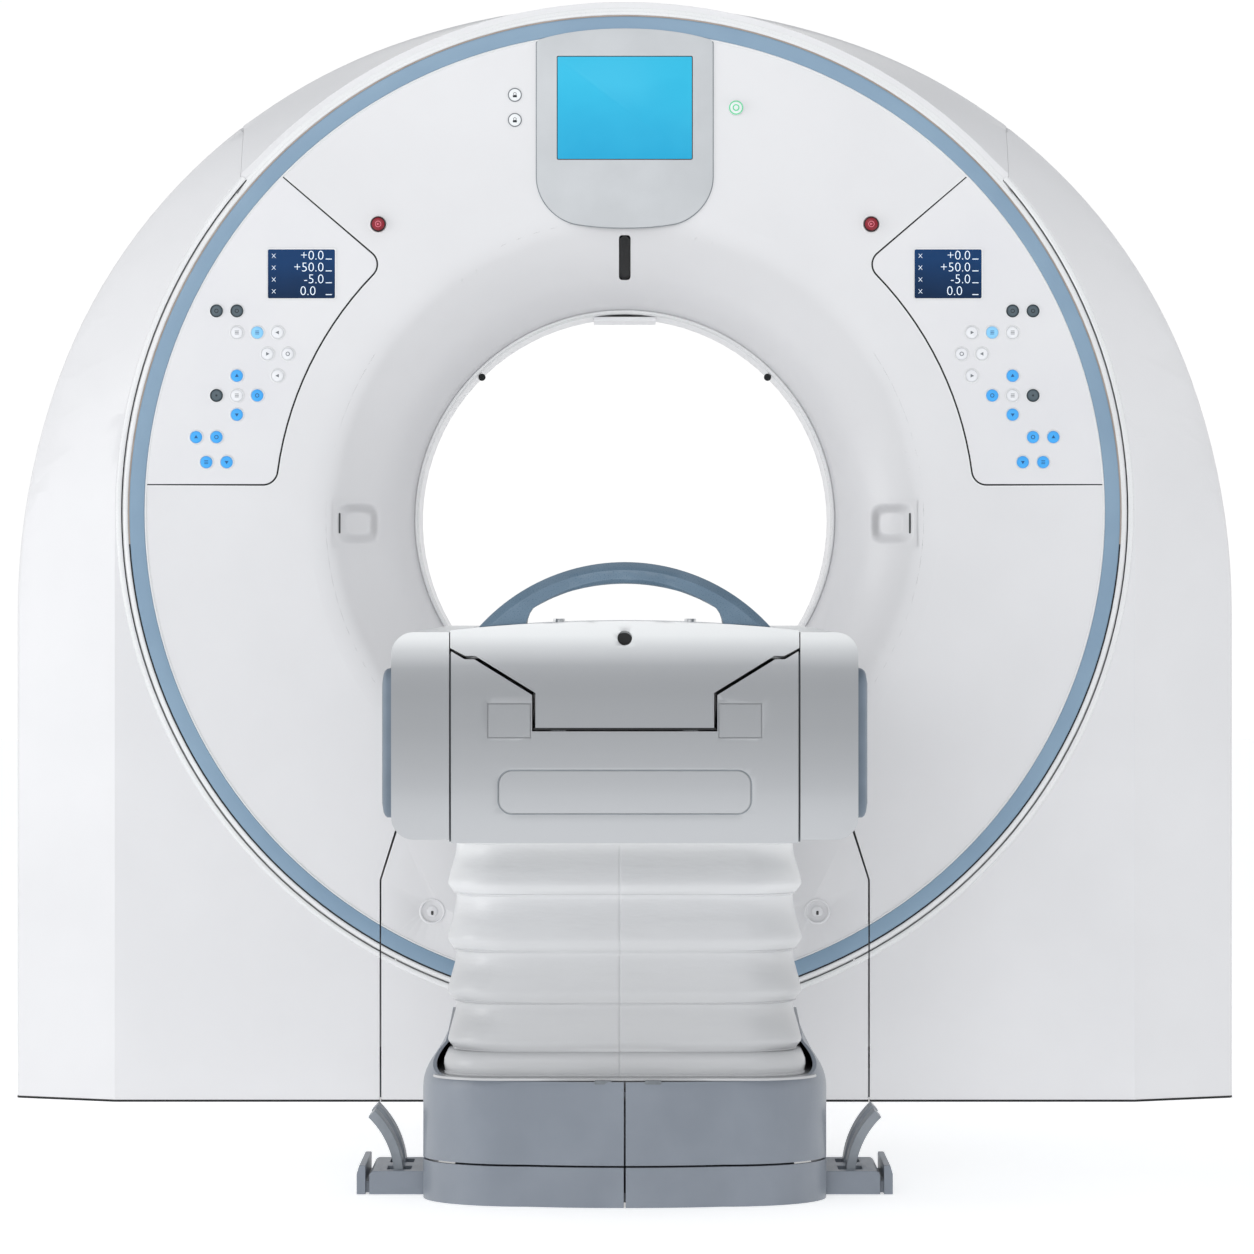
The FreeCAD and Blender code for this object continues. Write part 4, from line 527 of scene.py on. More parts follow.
def stud(profile, centre, steps):
    return turned(profile, centre, steps, ring=False)


def moved(form, matrix):
    ops.transform(form, matrix=matrix, verts=form.verts)
    return form


def stretched(form, scale, z):
    """Stretches a form about a height."""
    middle, back = Matrix.Translation((0, 0, z)), Matrix.Translation((0, 0, -z))
    return moved(form, middle @ Matrix.Diagonal((*scale, 1)) @ back)


def joined(forms):
    """Several forms as one."""
    whole = bmesh.new()
    for form in forms:
        mesh = mesh_of(form, "part")
        whole.from_mesh(mesh)
        bpy.data.meshes.remove(mesh)
    return whole


def flipped(form):
    """The mirror image across the middle of the object, beside the form itself."""
    made = ops.duplicate(form, geom=form.verts[:] + form.edges[:] + form.faces[:])
    ops.scale(form, verts=points_of(made), vec=(-1, 1, 1))
    faces = [part for part in made["geom"] if isinstance(part, bmesh.types.BMFace)]
    ops.reverse_faces(form, faces=faces)
    return form


def keep_part(form, wanted):
    """Keeps the faces whose middles pass a test, and closes the ends."""
    gone = [face for face in form.faces if not wanted(face.calc_center_median())]
    ops.delete(form, geom=gone, context="FACES")
    return closed(form)


def open_seam(form, x, width, top):
    """Opens a narrow upright gap through a hollow form, from the floor up to a height."""
    for side in (-0.5, 0.5):
        low = [face for face in form.faces if face.calc_center_median().z < top]
        cut_at(form, (x + side * width, 0, 0), ACROSS, low, dist=1e-7)
    keep_part(form, lambda point: abs(point.x - x) >= width / 2 or point.z >= top)


def copied(node):
    """A copy of a solid, with its flat faces whole and none of them hollow."""
    form = bmesh.new()
    form.from_mesh(frame["nodes"][node].data)
    ops.remove_doubles(form, verts=form.verts, dist=2e-6)
    ops.dissolve_limit(form, angle_limit=math.radians(0.3), verts=form.verts, edges=form.edges)
    ops.connect_verts_concave(form, faces=form.faces)
    return form


def soften(node, width, form=None, segments=2, finish=None):
    """The solid's own shape with its sharp edges rounded by a width in millimetres."""
    sharp = 32  # degrees between two faces
    form = form or copied(node)
    finish = finish or slot_of_node[node]
    piece = show(form, node + "_skin", finish, (node,), sharp, body_of_node[node])
    rounding = piece.modifiers.new("edges", "BEVEL")
    rounding.width = width / 1000
    rounding.segments = segments
    rounding.limit_method = "ANGLE"
    rounding.angle_limit = math.radians(sharp)
    rounding.harden_normals = True
    return piece


def part_of(node, wanted):
    """A copy of the bits of a solid whose points all pass a test."""
    form = copied(node)
    gone = [vert for vert in form.verts if not wanted(vert.co)]
    ops.delete(form, geom=gone, context="VERTS")
    return form


def lettering(words, size, place):
    """Figures that stand on a panel, end at a place and face the couch."""
    curve = bpy.data.curves.new("figures", "FONT")
    curve.body = words
    curve.size = size
    curve.align_x = "RIGHT"
    curve.extrude = 0.0001
    curve.offset = -0.0004
    curve.resolution_u = 3
    holder = placed("figures", curve)
    bpy.context.view_layer.update()
    mesh = bpy.data.meshes.new_from_object(
        holder.evaluated_get(bpy.context.evaluated_depsgraph_get())
    )
    form = bmesh.new()
    form.from_mesh(mesh)
    bpy.data.meshes.remove(mesh)
    bpy.data.objects.remove(holder)
    return moved(form, Matrix.Translation(place) @ UPRIGHT)


def lay_on_flare(form):
    """Slides an upright plate back along the flare's cone, by how far above the isocentre it is."""
    at_centre = (FLARE_MOUTH + ISO) * FLARE_SLOPE
    slide = Matrix(((1, 0, 0, 0), (0, 1, -FLARE_SLOPE, at_centre), (0, 0, 1, 0), (0, 0, 0, 1)))
    return moved(form, slide)


def lean(z):
    """How far the couch's end face leans back at a height: its top rolls away and its foot in."""
    flat_from, flat_to = 0.655, 0.8
    return (max(z - flat_to, 0) ** 2 + max(flat_from - z, 0) ** 2) / 0.9


def crowned(node, deep):
    """A solid at the couch's end, with the points of its end face on one rolled surface."""
    form = copied(node)
    sliced(form, UP, 0.582, 0.012, 28)
    sliced(form, ACROSS, -0.34, 0.02, 35)
    for vert in form.verts:
        if vert.co.y < COUCH_END + deep:
            vert.co.y += lean(vert.co.z)
    return form


# ---- the gantry's round face ----


def make_ring():
    """The blue ring, the bronze line at its edge, and the rounded white bead outside them."""
    ring = turned([
        (900.4, 0), (900.4, -1.2), (901.6, -2.6), (905, -3.1), (914.8, -3.4), (924, -3.1),
        (927.3, -2.6), (928.6, -1.2), (928.6, 0),
    ], DISC)
    line = turned([(928.7, 3), (928.7, -1.4), (931.3, -1.4), (931.3, 3)], DISC)
    lip = turned([(896.2, 1), (897.2, -1.6), (899, -2.2), (900.3, -1.2), (900.3, 1)], DISC)
    bead = turned([
        (931.3, 60), (931.3, -1.2), (932.4, -2.7), (934.5, -3), (937, -2.6), (940, -0.8),
        (942, 2.2), (943, 7), (943, 60),
    ], DISC)
    # the standing covers' edge round the disc, just clear of it when it tilts
    trim = turned([
        (944.1, 1), (944.1, -1.2), (945.3, -2.2), (948, -2.6), (951.5, -2), (954.5, -0.2),
        (954.5, 1),
    ], DISC)
    # the service panel's joints cross all of them near the floor
    for form in (ring, line, lip, bead, trim):
        for x in (-0.458, 0.458):
            open_seam(form, x, 0.0028, 0.6)
    # under the hood, which tilts with the disc, the same edge closes the gap
    hood_trim = turned(
        [(938.5, 6), (938.8, -1.7), (942, -1.3), (946, 0.2), (949.5, 2.6), (951.5, 6)], DISC
    )
    keep_part(trim, lambda point: abs(point.x) > HOOD_EDGE or point.z < 1.3)
    keep_part(hood_trim, lambda point: abs(point.x) < HOOD_EDGE - 0.0003 and point.z > 1.3)
    # the line shows bronze in its upper half and as a shadow in its lower half
    dark, middle = line.copy(), 1.045
    keep_part(line, lambda point: point.z > middle)
    keep_part(dark, lambda point: point.z < middle)
    show(ring, "blue_ring", "ring_blue", ("front_ring",))
    show(line, "ring_edge_line", "ring_edge")
    show(dark, "ring_edge_shadow_line", "shadow_seal")
    show(lip, "ring_inner_lip", "rim_white", (), 60)
    show(bead, "white_bead", "rim_white", ("disc_rim",), 60)
    show(trim, "opening_trim", "rim_white", (), 60, body="stand")
    show(hood_trim, "hood_trim", "rim_white", (), 60)


# ---- display, lamps and buttons ----


def make_display():
    """A pale panel with a round chin under the ring, and a lit glass with a dark edge in it."""
    corner = 1.9902
    form = bmesh.new()
    outline = [
        (-0.165, corner, 0.008), (-0.165, 1.655, 0.079), (0.0, 1.633, 0.07), (0.165, 1.655, 0.079),
        (0.165, corner, 0.008), (0.0, 2.0345, 0.148),
    ]
    points = [form.verts.new((x, -0.4042, z)) for x, z, radius in outline]
    form.faces.new(points)
    for point, (_, _, radius) in zip(points, outline):
        bevel(form, [point], radius, 14)
    thickened(form, (0, 0.008, 0))
    groove = form.copy()
    show(round_front(form, 0.0009), "display_bezel", "panel_grey", ("display_panel",))
    ops.translate(groove, verts=groove.verts, vec=(0, 0.003, 0))
    show(stretched(groove, (1.01, 1, 1.007), 1.82), "display_bezel_joint", "joint_grey")
    edge = panel_between(-0.1275, 1.7655, 0.1275, 1.9605, -0.4046, 0.003, 0.003)
    round_front(edge, 0.0005)
    show(edge, "display_glass_edge", "window_smoke", ("display_screen",))
    glass = panel_between(-0.1258, 1.7672, 0.1258, 1.9588, -0.4051, 0.002, 0.0022)
    show(round_front(glass, 0.0003), "display_glass", "screen_cyan")


def make_lamps():
    """Two round lenses left of the display, each in a grey ring with a grey sign on it."""
    collars, lenses, signs = [], [], []
    for z in (1.8875, 1.8405):
        centre = (-0.206, FACE, z)
        collars.append(
            turned([(11.2, 0), (11.2, -1.4), (12.1, -2), (13, -1.4), (13, 0)], centre, 36)
        )
        lenses.append(stud([(0, -1.2), (11.2, -1), (11.2, 0), (0, 0)], centre, 32))
        front = FACE - 0.0014
        signs.append(panel_between(-0.2098, z - 0.0045, -0.2022, z - 0.0005, front, 0.0006, 0.0008))
        signs.append(
            turned([(2.2, 0), (2.2, -1.4), (3, -1.4), (3, 0)], (-0.206, FACE, z + 0.0018), 20)
        )
    show(joined(collars), "lamp_collars", "mark_grey")
    show(joined(lenses), "lamp_lenses", "lamp_clear", ("status_lamps",))
    show(joined(signs), "lamp_signs", "mark_black")


def button_cap(centre):
    """A push button's head, a little domed, on its stem."""
    return stud(
        [(0, -11), (8, -10.8), (12, -10.1), (13.7, -8.6), (14, -6), (14, 15), (0, 15)], centre, 40
    )


def make_buttons():
    """The two red stop buttons, and the button with green rings that starts the scan."""
    for side, x in (("left", -0.462), ("right", 0.462)):
        centre = (x, FACE, 1.645)
        body = side + "_stop"
        solid = (side + "_stop_button",)
        show(button_cap(centre), side + "_red_button", "stop_red", solid, body=body)
        arrow = joined([
            turned([(4.8, -10.4), (4.8, -11.3), (5.8, -11.3), (5.8, -10.4)], centre, 28),
            plate(
                [(x - 0.0021, 1.6432), (x + 0.0026, 1.645), (x - 0.0021, 1.6468)], FACE - 0.0113,
                0.0006,
            ),
        ])
        show(arrow, side + "_red_button_sign", "sign_rose", body=body)
        # painted shade: a black ring over the cap's rounded rim, where it meets its collar
        edge = turned([(11.6, -9.6), (12.4, -10.6), (13.8, -9.8), (14.3, -7), (13, -6)], centre, 40)
        show(edge, side + "_red_button_edge", "shadow_seal", body=body)
        collar = turned([(14.8, 0), (14.8, -2.2), (15.6, -3), (17, -2.2), (17.4, 0)], centre, 40)
        show(collar, side + "_red_button_collar", "rim_white")
    centre = (0.2085, FACE, 1.863)
    show(button_cap(centre), "green_ring_button", "lamp_clear", ("start_button",), body="start")
    rings = []
    for inner, outer, front in ((11.2, 13.2, 10.8), (4.2, 6.4, 11.4)):
        profile = [(inner, -10), (inner, -front), (outer, -front), (outer, -9)]
        rings.append(turned(profile, centre, 36))
    show(joined(rings), "green_ring_button_rings", "start_green", body="start")


# ---- consoles: readouts and keys ----


def make_readouts():
    """A navy glass in a slim white frame on each console, with four lines of figures."""
    frames, glasses, figures = [], [], []
    for x in (-0.606, 0.606):
        low, high = 1.5035, 1.6005
        edge = panel_between(x - 0.0655, low, x + 0.0655, high, -0.403, 0.004, 0.006, 8)
        step_in(edge, min(edge.faces, key=depth_of), 0.0026, (0, 0.0014, 0))
        frames.append(edge)
        left, right, foot, head = x - 0.0628, x + 0.0628, low + 0.0027, high - 0.0027
        glasses.append(panel_between(left, foot, right, head, -0.4019, 0.001, 0.003))
        y = -0.4021
        for row, words in enumerate(("+0.0", "+50.0", "-5.0", "0.0")):
            z = high - 0.022 - row * 0.0222
            end = x + (0.0275 if words == "0.0" else 0.0425)
            figures.append(lettering(words, 0.025, (end, y, z)))
            dash = x + 0.0455
            figures.append(panel_between(dash, z + 0.0005, dash + 0.0115, z + 0.002, y, 0.0004))
            figures.append(lettering("x", 0.019, (x - 0.047, y, z + 0.003)))
    show(joined(frames), "readout_frames", "rim_white")
    show(joined(glasses), "readout_glasses", "readout_navy", ("readouts",))
    show(joined(figures), "readout_figures", "digit_white")


COLUMN_X, MIDDLE_ROW, HALF_STEP = 0.727, 1.324, 0.0191

KEYS = (
    # height above the middle row, and for each key its half steps out from the column, its
    # colour and its sign
    (0.1585, ((2, "dark", "ring"), (0, "dark", "ring"))),
    (0.118, ((0, "white", "bars"), (-2, "pale", "bars"), (-4, "white", "right"))),
    (0.078, ((-3, "white", "left"), (-5, "white", "ring"))),
    (0.037, ((0, "blue", "up"), (-4, "white", "right"))),
    (0.0, ((2, "dark", "dot"), (0, "white", "bars"), (-2, "blue", "ring"))),
    (-0.036, ((0, "blue", "down"),)),
    (-0.078, ((4, "blue", "up"), (2, "blue", "ring"))),
    (-0.125, ((3, "blue", "bars"), (1, "blue", "down"))),
)

SIGNS = {
    "up": [(-0.0036, -0.0022), (0.0036, -0.0022), (0, 0.0038)],
    "down": [(-0.0036, 0.0022), (0, -0.0038), (0.0036, 0.0022)],
    "left": [(-0.004, 0), (0.0024, -0.0034), (0.0024, 0.0034)],
    "right": [(0.004, 0), (-0.0024, 0.0034), (-0.0024, -0.0034)],
}


def key_sign(sign, x, z):
    front = FACE - 0.0043
    if sign in ("ring", "dot"):
        inner, outer = (2.6, 4.0) if sign == "ring" else (0.2, 2.0)
        return turned([(inner, 1), (inner, 0), (outer, 0), (outer, 1)], (x, front, z), 20)
    if sign == "bars":
        left, right, half = x - 0.0036, x + 0.0036, 0.0006
        heights = (z - 0.0028, z, z + 0.0028)
        return joined(
            [panel_between(left, up - half, right, up + half, front, 0.0008) for up in heights]
        )
    corners = [(x + across, z + up) for across, up in SIGNS[sign]]
    return plate(corners, front, 0.0008)


def make_keys():
    """Rubber keys in four colours, each a low dome in a raised collar, alike on both consoles."""
    caps = {colour: [] for colour in ("white", "pale", "blue", "dark")}
    signs = {colour: [] for colour in caps}
    collars = {"white": [], "dark": []}
    for rise, row in KEYS:
        for step, colour, sign in row:
            x, z = COLUMN_X + HALF_STEP * step, MIDDLE_ROW + rise
            centre = (x, FACE - 0.001, z)
            caps[colour].append(stud([
                (0, -3.2), (6, -3.1), (9.2, -2.7), (10.8, -1.8), (11.3, -0.4), (11.3, 0.8), (0, 0.8)
            ], centre, 32))
            rim = turned(
                [(11.7, 0.4), (11.7, -1.4), (12.4, -2.1), (13.3, -1.7), (13.9, -0.7), (14.2, 0.4)],
                centre, 32,
            )
            collars["white"].append(rim)
            if colour == "dark":
                collars["dark"].append(
                    turned([(10, -2), (10.4, -3.6), (11.7, -3.5), (12.3, -1.8)], centre, 32)
                )
            signs[colour].append(key_sign(sign, x, z))
    stands_for = ("console_keys",)
    for colour, forms in caps.items():
        show(flipped(joined(forms)), colour + "_keys", "key_" + colour, stands_for, 50)
    show(flipped(joined(collars["white"])), "pale_key_collars", "rim_white", (), 50)
    show(flipped(joined(collars["dark"])), "dark_key_collars", "key_collar", (), 50)
    for colour, mark in (("white", "grey"), ("pale", "navy"), ("blue", "navy"), ("dark", "black")):
        show(flipped(joined(signs[colour])), f"signs_on_{colour}_keys", "mark_" + mark)


# ---- the flare and the bore ----


TRAY = Vector((0.504, 0, ISO - 0.009))


def trumpet(x, z):
    """Where the flare's surface is at a place, and which way it seems to face.

    Its normals turn evenly from the flat face to the bore, as on the real moulding.
    """
    mouth, throat = 0.602, 0.39
    out = Vector((x, 0, z - ISO))
    turn = min(max((mouth - out.length) / (mouth - throat), 0), 0.97)
    depth = FACE + (FLARE_MOUTH - out.length) * FLARE_SLOPE
    out.normalize()
    return depth, Vector((-out.x * turn, -math.sqrt(1 - turn * turn), -out.z * turn))


def dish(x, z):
    """How deep the soft square dish of a tray is at a place."""
    half = 0.04
    across, up = abs(abs(x) - TRAY.x) / half, abs(z - TRAY.z) / half
    inside = min(max((1 - (across ** 4 + up ** 4) ** 0.25) / 0.55, 0), 1)
    return 0.015 * inside * inside * (3 - 2 * inside)


def reach_of(point):
    return math.hypot(point.x, point.z - ISO)


def make_hand_trays():
    """Two soft square dishes let into the flare at the height of the bore's axis."""
    form = bmesh.new()
    ops.create_grid(form, x_segments=44, y_segments=44, size=0.044)
    moved(form, Matrix.Translation(TRAY) @ UPRIGHT)
    # painted shade: a black strip stands for each tray's slit
    slit = panel_between(0.5345, TRAY.z - 0.0195, 0.5378, TRAY.z + 0.0195, -0.0007, 0.004, 0.0016)
    form = flipped(form)
    for vert in form.verts:
        vert.co.y = trumpet(vert.co.x, vert.co.z)[0] + dish(vert.co.x, vert.co.z) - 0.0007
    for vert in slit.verts:
        vert.co.y += trumpet(vert.co.x, vert.co.z)[0] + dish(vert.co.x, vert.co.z)
    show(flipped(slit), "hand_tray_slits", "mark_black")
    piece = show(form, "hand_trays", "white_cover", ("flare_inserts",), 180)
    normals = []
    for loop in piece.data.loops:
        place = piece.data.vertices[loop.vertex_index].co
        x, z = place.x, place.z
        wanted = trumpet(x, z)[1]
        wanted = wanted / -wanted.y
        step = 0.0005
        wanted.x += (dish(x + step, z) - dish(x - step, z)) / (1.3 * step)
        wanted.z += (dish(x, z + step) - dish(x, z - step)) / (1.3 * step)
        normals.append(wanted.normalized())
    piece.data.normals_split_custom_set(normals)


def make_front_cover():
    """The round face, with its flare shaded as one trumpet and the consoles' seats painted black
    inside, a painted shade.
    """
    form = copied("front_cover")
    for across in (ACROSS, UP):
        for step in range(-24, 25):
            away = 0.0004 + step * 0.025
            near = [f for f in form.faces if reach_of(f.calc_center_median()) < FLARE_REACH]
            cut_at(form, (away, 0, ISO + away), across, near)
    piece = show(form, "front_cover_skin", "white_cover", ("front_cover",))
    mesh = piece.data
    mesh.materials.append(finishes["shadow_seal"])
    normals = [Vector() for loop in mesh.loops]
    for face in mesh.polygons:
        reach = reach_of(face.center)
        # only the consoles' seats lie this far out and just behind the face: their faces get the
        # black finish, a painted shade in the seats
        if 0.625 < reach < 0.9 and FACE + 0.0005 < face.center.y < FACE + 0.012:
            face.material_index = 1
        if face.normal.y < -0.9995:
            for index in face.loop_indices:
                normals[index] = Vector((0, -1, 0))
        depth, wanted = trumpet(face.center.x, face.center.z)
        sideways = Vector((wanted.z, 0, -wanted.x)).normalized()
        on_flare = reach < FLARE_REACH and abs(face.center.y - max(depth, FACE)) < 0.022
        if not on_flare or abs(face.normal.dot(sideways)) > 0.12 or face.normal.y > -0.2:
            continue
        for index in face.loop_indices:
            point = mesh.vertices[mesh.loops[index].vertex_index].co
            normals[index] = trumpet(point.x, point.z)[1]
    mesh.normals_split_custom_set(normals)
    # the bore's rim shows as a thin light ring inside the flare
    lip = turned([
        (395.2, -110), (395.4, -138.5), (397.5, -141.5), (400.5, -141), (401.8, -138), (401.8, -110)
    ], (0, 0, ISO))
    show(lip, "bore_lip", "rim_white", (), 60)


def make_hood():
    """The hood's front edges reach nearly to the standing covers' caps."""
    hood = copied("top_hood")
    for vert in hood.verts:
        if 0.715 < abs(vert.co.x) < 0.717:
            vert.co.x = math.copysign(HOOD_EDGE, vert.co.x)
    soften("top_hood", 2, hood)


def make_consoles():
    """The two consoles, each with a black band of painted shade round it and beyond that a lighter
    white band, a painted highlight on its seat's edge.
    """
    soften("consoles", 0.7, finish="console_white")
    # painted shade in the joint round each console, and a painted highlight on the seat's edge
    # outside it
    for name, out, y, finish in (
        ("console_painted_shade_band", 0.0031, FACE - 0.0003, "shadow_seal"),
        ("console_seat_painted_highlight", 0.0058, FACE - 0.0001, "rim_white"),
    ):
        # only the fronts are kept, and their borders move outwards
        form = copied("consoles")
        gone = [face for face in form.faces if face.normal.y > -0.9]
        ops.delete(form, geom=gone, context="FACES")
        form.normal_update()
        border = [edge for edge in form.edges if edge.is_boundary]
        ways_out = {vert: Vector() for edge in border for vert in edge.verts}
        for edge in border:
            along = (edge.verts[1].co - edge.verts[0].co).normalized()
            side = Vector((along.z, 0, -along.x))
            middle = (edge.verts[0].co + edge.verts[1].co) / 2
            if side.dot(edge.link_faces[0].calc_center_median() - middle) > 0:
                side.negate()
            for vert in edge.verts:
                ways_out[vert] += side
        for vert, side in ways_out.items():
            vert.co += side.normalized() * out
        for vert in form.verts:
            vert.co.y = y
        show(thickened(form, (0, 0.002, 0)), name, finish)


def make_lock_faces():
    """Each panel lock: a white cap in its dimple with a small black mark on it, a painted shade for
    its keyhole.
    """
    caps, holes = [], []
    for x in (-0.361, 0.361):
        centre = (x, -0.3975, 0.357)
        caps.append(stud([(0, -1.2), (7, -1.2), (9.8, -0.2), (10.8, 0.8), (0, 1.2)], centre, 32))
        holes.append(panel_between(x - 0.0022, 0.35, x + 0.0026, 0.358, -0.399, 0.001, 0.0018))
        dimple = [(20, 1), (20.6, -1.4), (22.2, -2), (24, -1.2), (25, 1)]
        caps.append(turned(dimple, (x, FACE, 0.357), 48))
    show(joined(caps), "lock_caps", "console_white", ("service_panel_locks",), 60)
    show(joined(holes), "lock_keyholes", "window_smoke")


def make_flare_details():
    """The slot and the microphone above the bore, the trays at its sides and its light windows."""
    # painted shade: the slot is black all over, for the shade inside it
    slot = panel_between(-0.0102, ISO + 0.457, 0.0102, ISO + 0.531, -0.401, 0.004, 0.0098, 10)
    front = min(slot.faces, key=depth_of)
    step_in(slot, front, 0.0028, (0, 0.0022, 0))
    step_in(slot, front, 0.0016, (0, -0.001, 0))
    show(lay_on_flare(slot), "intercom_slot", "shadow_seal", ("flare_inserts",))
    dimple = turned(
        [(7.5, 3), (12, -0.6), (15.5, -0.9), (17.5, 0.6), (16.5, 3)], (-0.06, FACE - 0.0002, 1.562),
        40,
    )
    # painted shade: a black dot stands for the microphone's hole
    profile = [(0, -1.2), (1.8, -1), (2, 1), (0, 1)]
    dot = stud(profile, (-0.06, FACE, 1.562), 20)
    show(lay_on_flare(dimple), "microphone_dimple", "white_cover")
    show(lay_on_flare(dot), "microphone_hole", "window_smoke")
    make_hand_trays()
    window = part_of("light_windows", lambda point: abs(point.x) < 0.1)
    show(window, "bore_top_window", "tunnel_white", ("light_windows",))
    lenses = part_of("light_windows", lambda point: abs(point.x) > 0.1)
    show(lenses, "laser_lenses", "window_smoke", ("light_windows",))


# ---- the couch ----


def make_side_pads():
    """Long foam bumpers with a moulded skin: thick in the middle and drawn in round their edge."""
    low, high, near, far = 0.612, 0.838, -2.719, -1.021
    outline = ((near, low), (far, low), (far, high), (near, high))
    form = flat_face([(0.352, y, z) for y, z in outline], 0.024)
    made = ops.extrude_face_region(form, geom=form.faces[:])
    outer = next(part for part in made["geom"] if isinstance(part, bmesh.types.BMFace))
    ops.translate(form, verts=points_of(made), vec=(0.0085, 0, 0))
    for inset, out in ((0.003, 0.0036), (0.005, 0.0022), (0.009, 0.0014), (0.005, 0.0008)):
        step_in(form, outer, inset, (out, 0, 0))
    sliced(form, ALONG, near + 0.06, 0.06, 28)
    sliced(form, UP, low + 0.035, 0.031, 6)
    outward(form)
    piece = show(flipped(form), "side_pads_foam", "pad_slate", ("side_pads",), 60, body="couch_top")


def make_couch_end():
    """The rolled end face, with black and grey marks of painted shade in the joints of its tongue
    and hand panel and in its pin hole.
    """
    for node, deep, width in (
        ("carriage", 0.03, 4), ("right_side_cover", 0.03, 5), ("left_side_cover", 0.03, 5),
        ("couch_end_cover", 0.004, 1.5), ("couch_end_panels", 0.02, 1.2),
    ):
        soften(node, width, crowned(node, deep), 3)
    # painted shade: a black strip in the tongue's joint
    seal = panel_between(-0.1378, 0.7461, 0.1378, 0.7493, COUCH_END - 0.0003, 0.001)
    show(seal, "tongue_joint_painted_shade", "shadow_seal", body="couch_top")
    # painted shade: a black disc at the bottom of the pin hole
    pin = 0.8842
    hole = stud([(0, 0), (11.8, 0), (11.8, 4), (0, 4)], (-0.001, -2.7385, pin), 32)
    show(stretched(hole, (1, 1, 0.74), pin), "pin_hole_bottom", "shadow_seal", body="cradle_top")
    # painted shade: a grey outline in the joint round the hand panel
    joint = panel_between(-0.1925, 0.618, 0.1925, 0.6862, COUCH_END - 0.0003, 0.0012, 0.022, 8)
    for side in (min, max):
        face = side(joint.faces, key=depth_of)
        ops.inset_region(joint, faces=[face], thickness=0.0017)
        ops.delete(joint, geom=[face], context="FACES")
    ops.bridge_loops(joint, edges=[edge for edge in joint.edges if edge.is_boundary])
    sliced(joint, UP, 0.622, 0.008, 6)
    for vert in joint.verts:
        vert.co.y += lean(vert.co.z)
    show(outward(joint), "hand_panel_joint", "joint_grey", body="couch_top")


def make_handle():
    """The push handle: its opening has upright sides under a flat arch."""
    form = copied("push_handle")
    # the solid's round opening: its radius, its centre's height and how far round it the move fades
    radius, centre, fade = 0.2036, 0.7634, 0.018
    # the wanted one: half its width, and the share of the way out at which its side turns upright
    half, bend = 0.148, 0.9
    for vert in form.verts:
        near = 1 - (math.hypot(vert.co.x, vert.co.z - centre) - radius) / fade
        near = min(max(near, 0), 1)
        share = min(abs(vert.co.x) / 0.151, 1)
        x = half * min(share / bend, 1)
        z = 0.667 + math.sqrt(0.09 - x * x) if share < bend else 0.928 - (share - bend) * 0.3
        vert.co.x += near * (math.copysign(x, vert.co.x) - vert.co.x)
        vert.co.z += near * (z - vert.co.z)
    soften("push_handle", 3, form)


BELLOWS_FOLDS = (0.238, 0.314, 0.394, 0.482, 0.5625)


def bellows_rings():
    """Height and depth below the fullest outline, ring by ring up the sleeve."""
    rings = [
        (BELLOWS_FOOT, -0.002), (0.193, -0.002), (0.195, -0.0058), (0.1985, -0.006),
        (0.1992, -0.0034), (0.2002, -0.0032), (0.201, -0.0052), (0.204, -0.0056), (0.205, -0.0036),
        (0.2062, -0.004), (0.215, -0.006), (0.224, -0.0055), (0.231, -0.0025), (0.236, 0.0005),
    ]
    # millimetres above a pleat's crease, and the share of the valley's depth there
    swell = (
        (0.0, 0.6), (0.8, 0.52), (2.2, 0.58), (8.0, 0.3), (14.0, 0.05), (18.0, 0.0), (24.0, 0.08),
        (34.0, 0.26), (46.0, 0.56), (56.0, 0.82), (66.0, 0.97), (74.0, 1.0), (78.0, 0.96),
    )
    for low, high in zip(BELLOWS_FOLDS, BELLOWS_FOLDS[1:]):
        size = (high - low) / 0.0805
        valley = 0.023 * min(1, size * 1.1)
        rings += [(low + rise * size / 1000, share * valley) for rise, share in swell]
    return rings + [(BELLOWS_FOLDS[-1], 0.006), (0.5645, 0.004), (0.567, 0.008), (0.575, 0.008)]


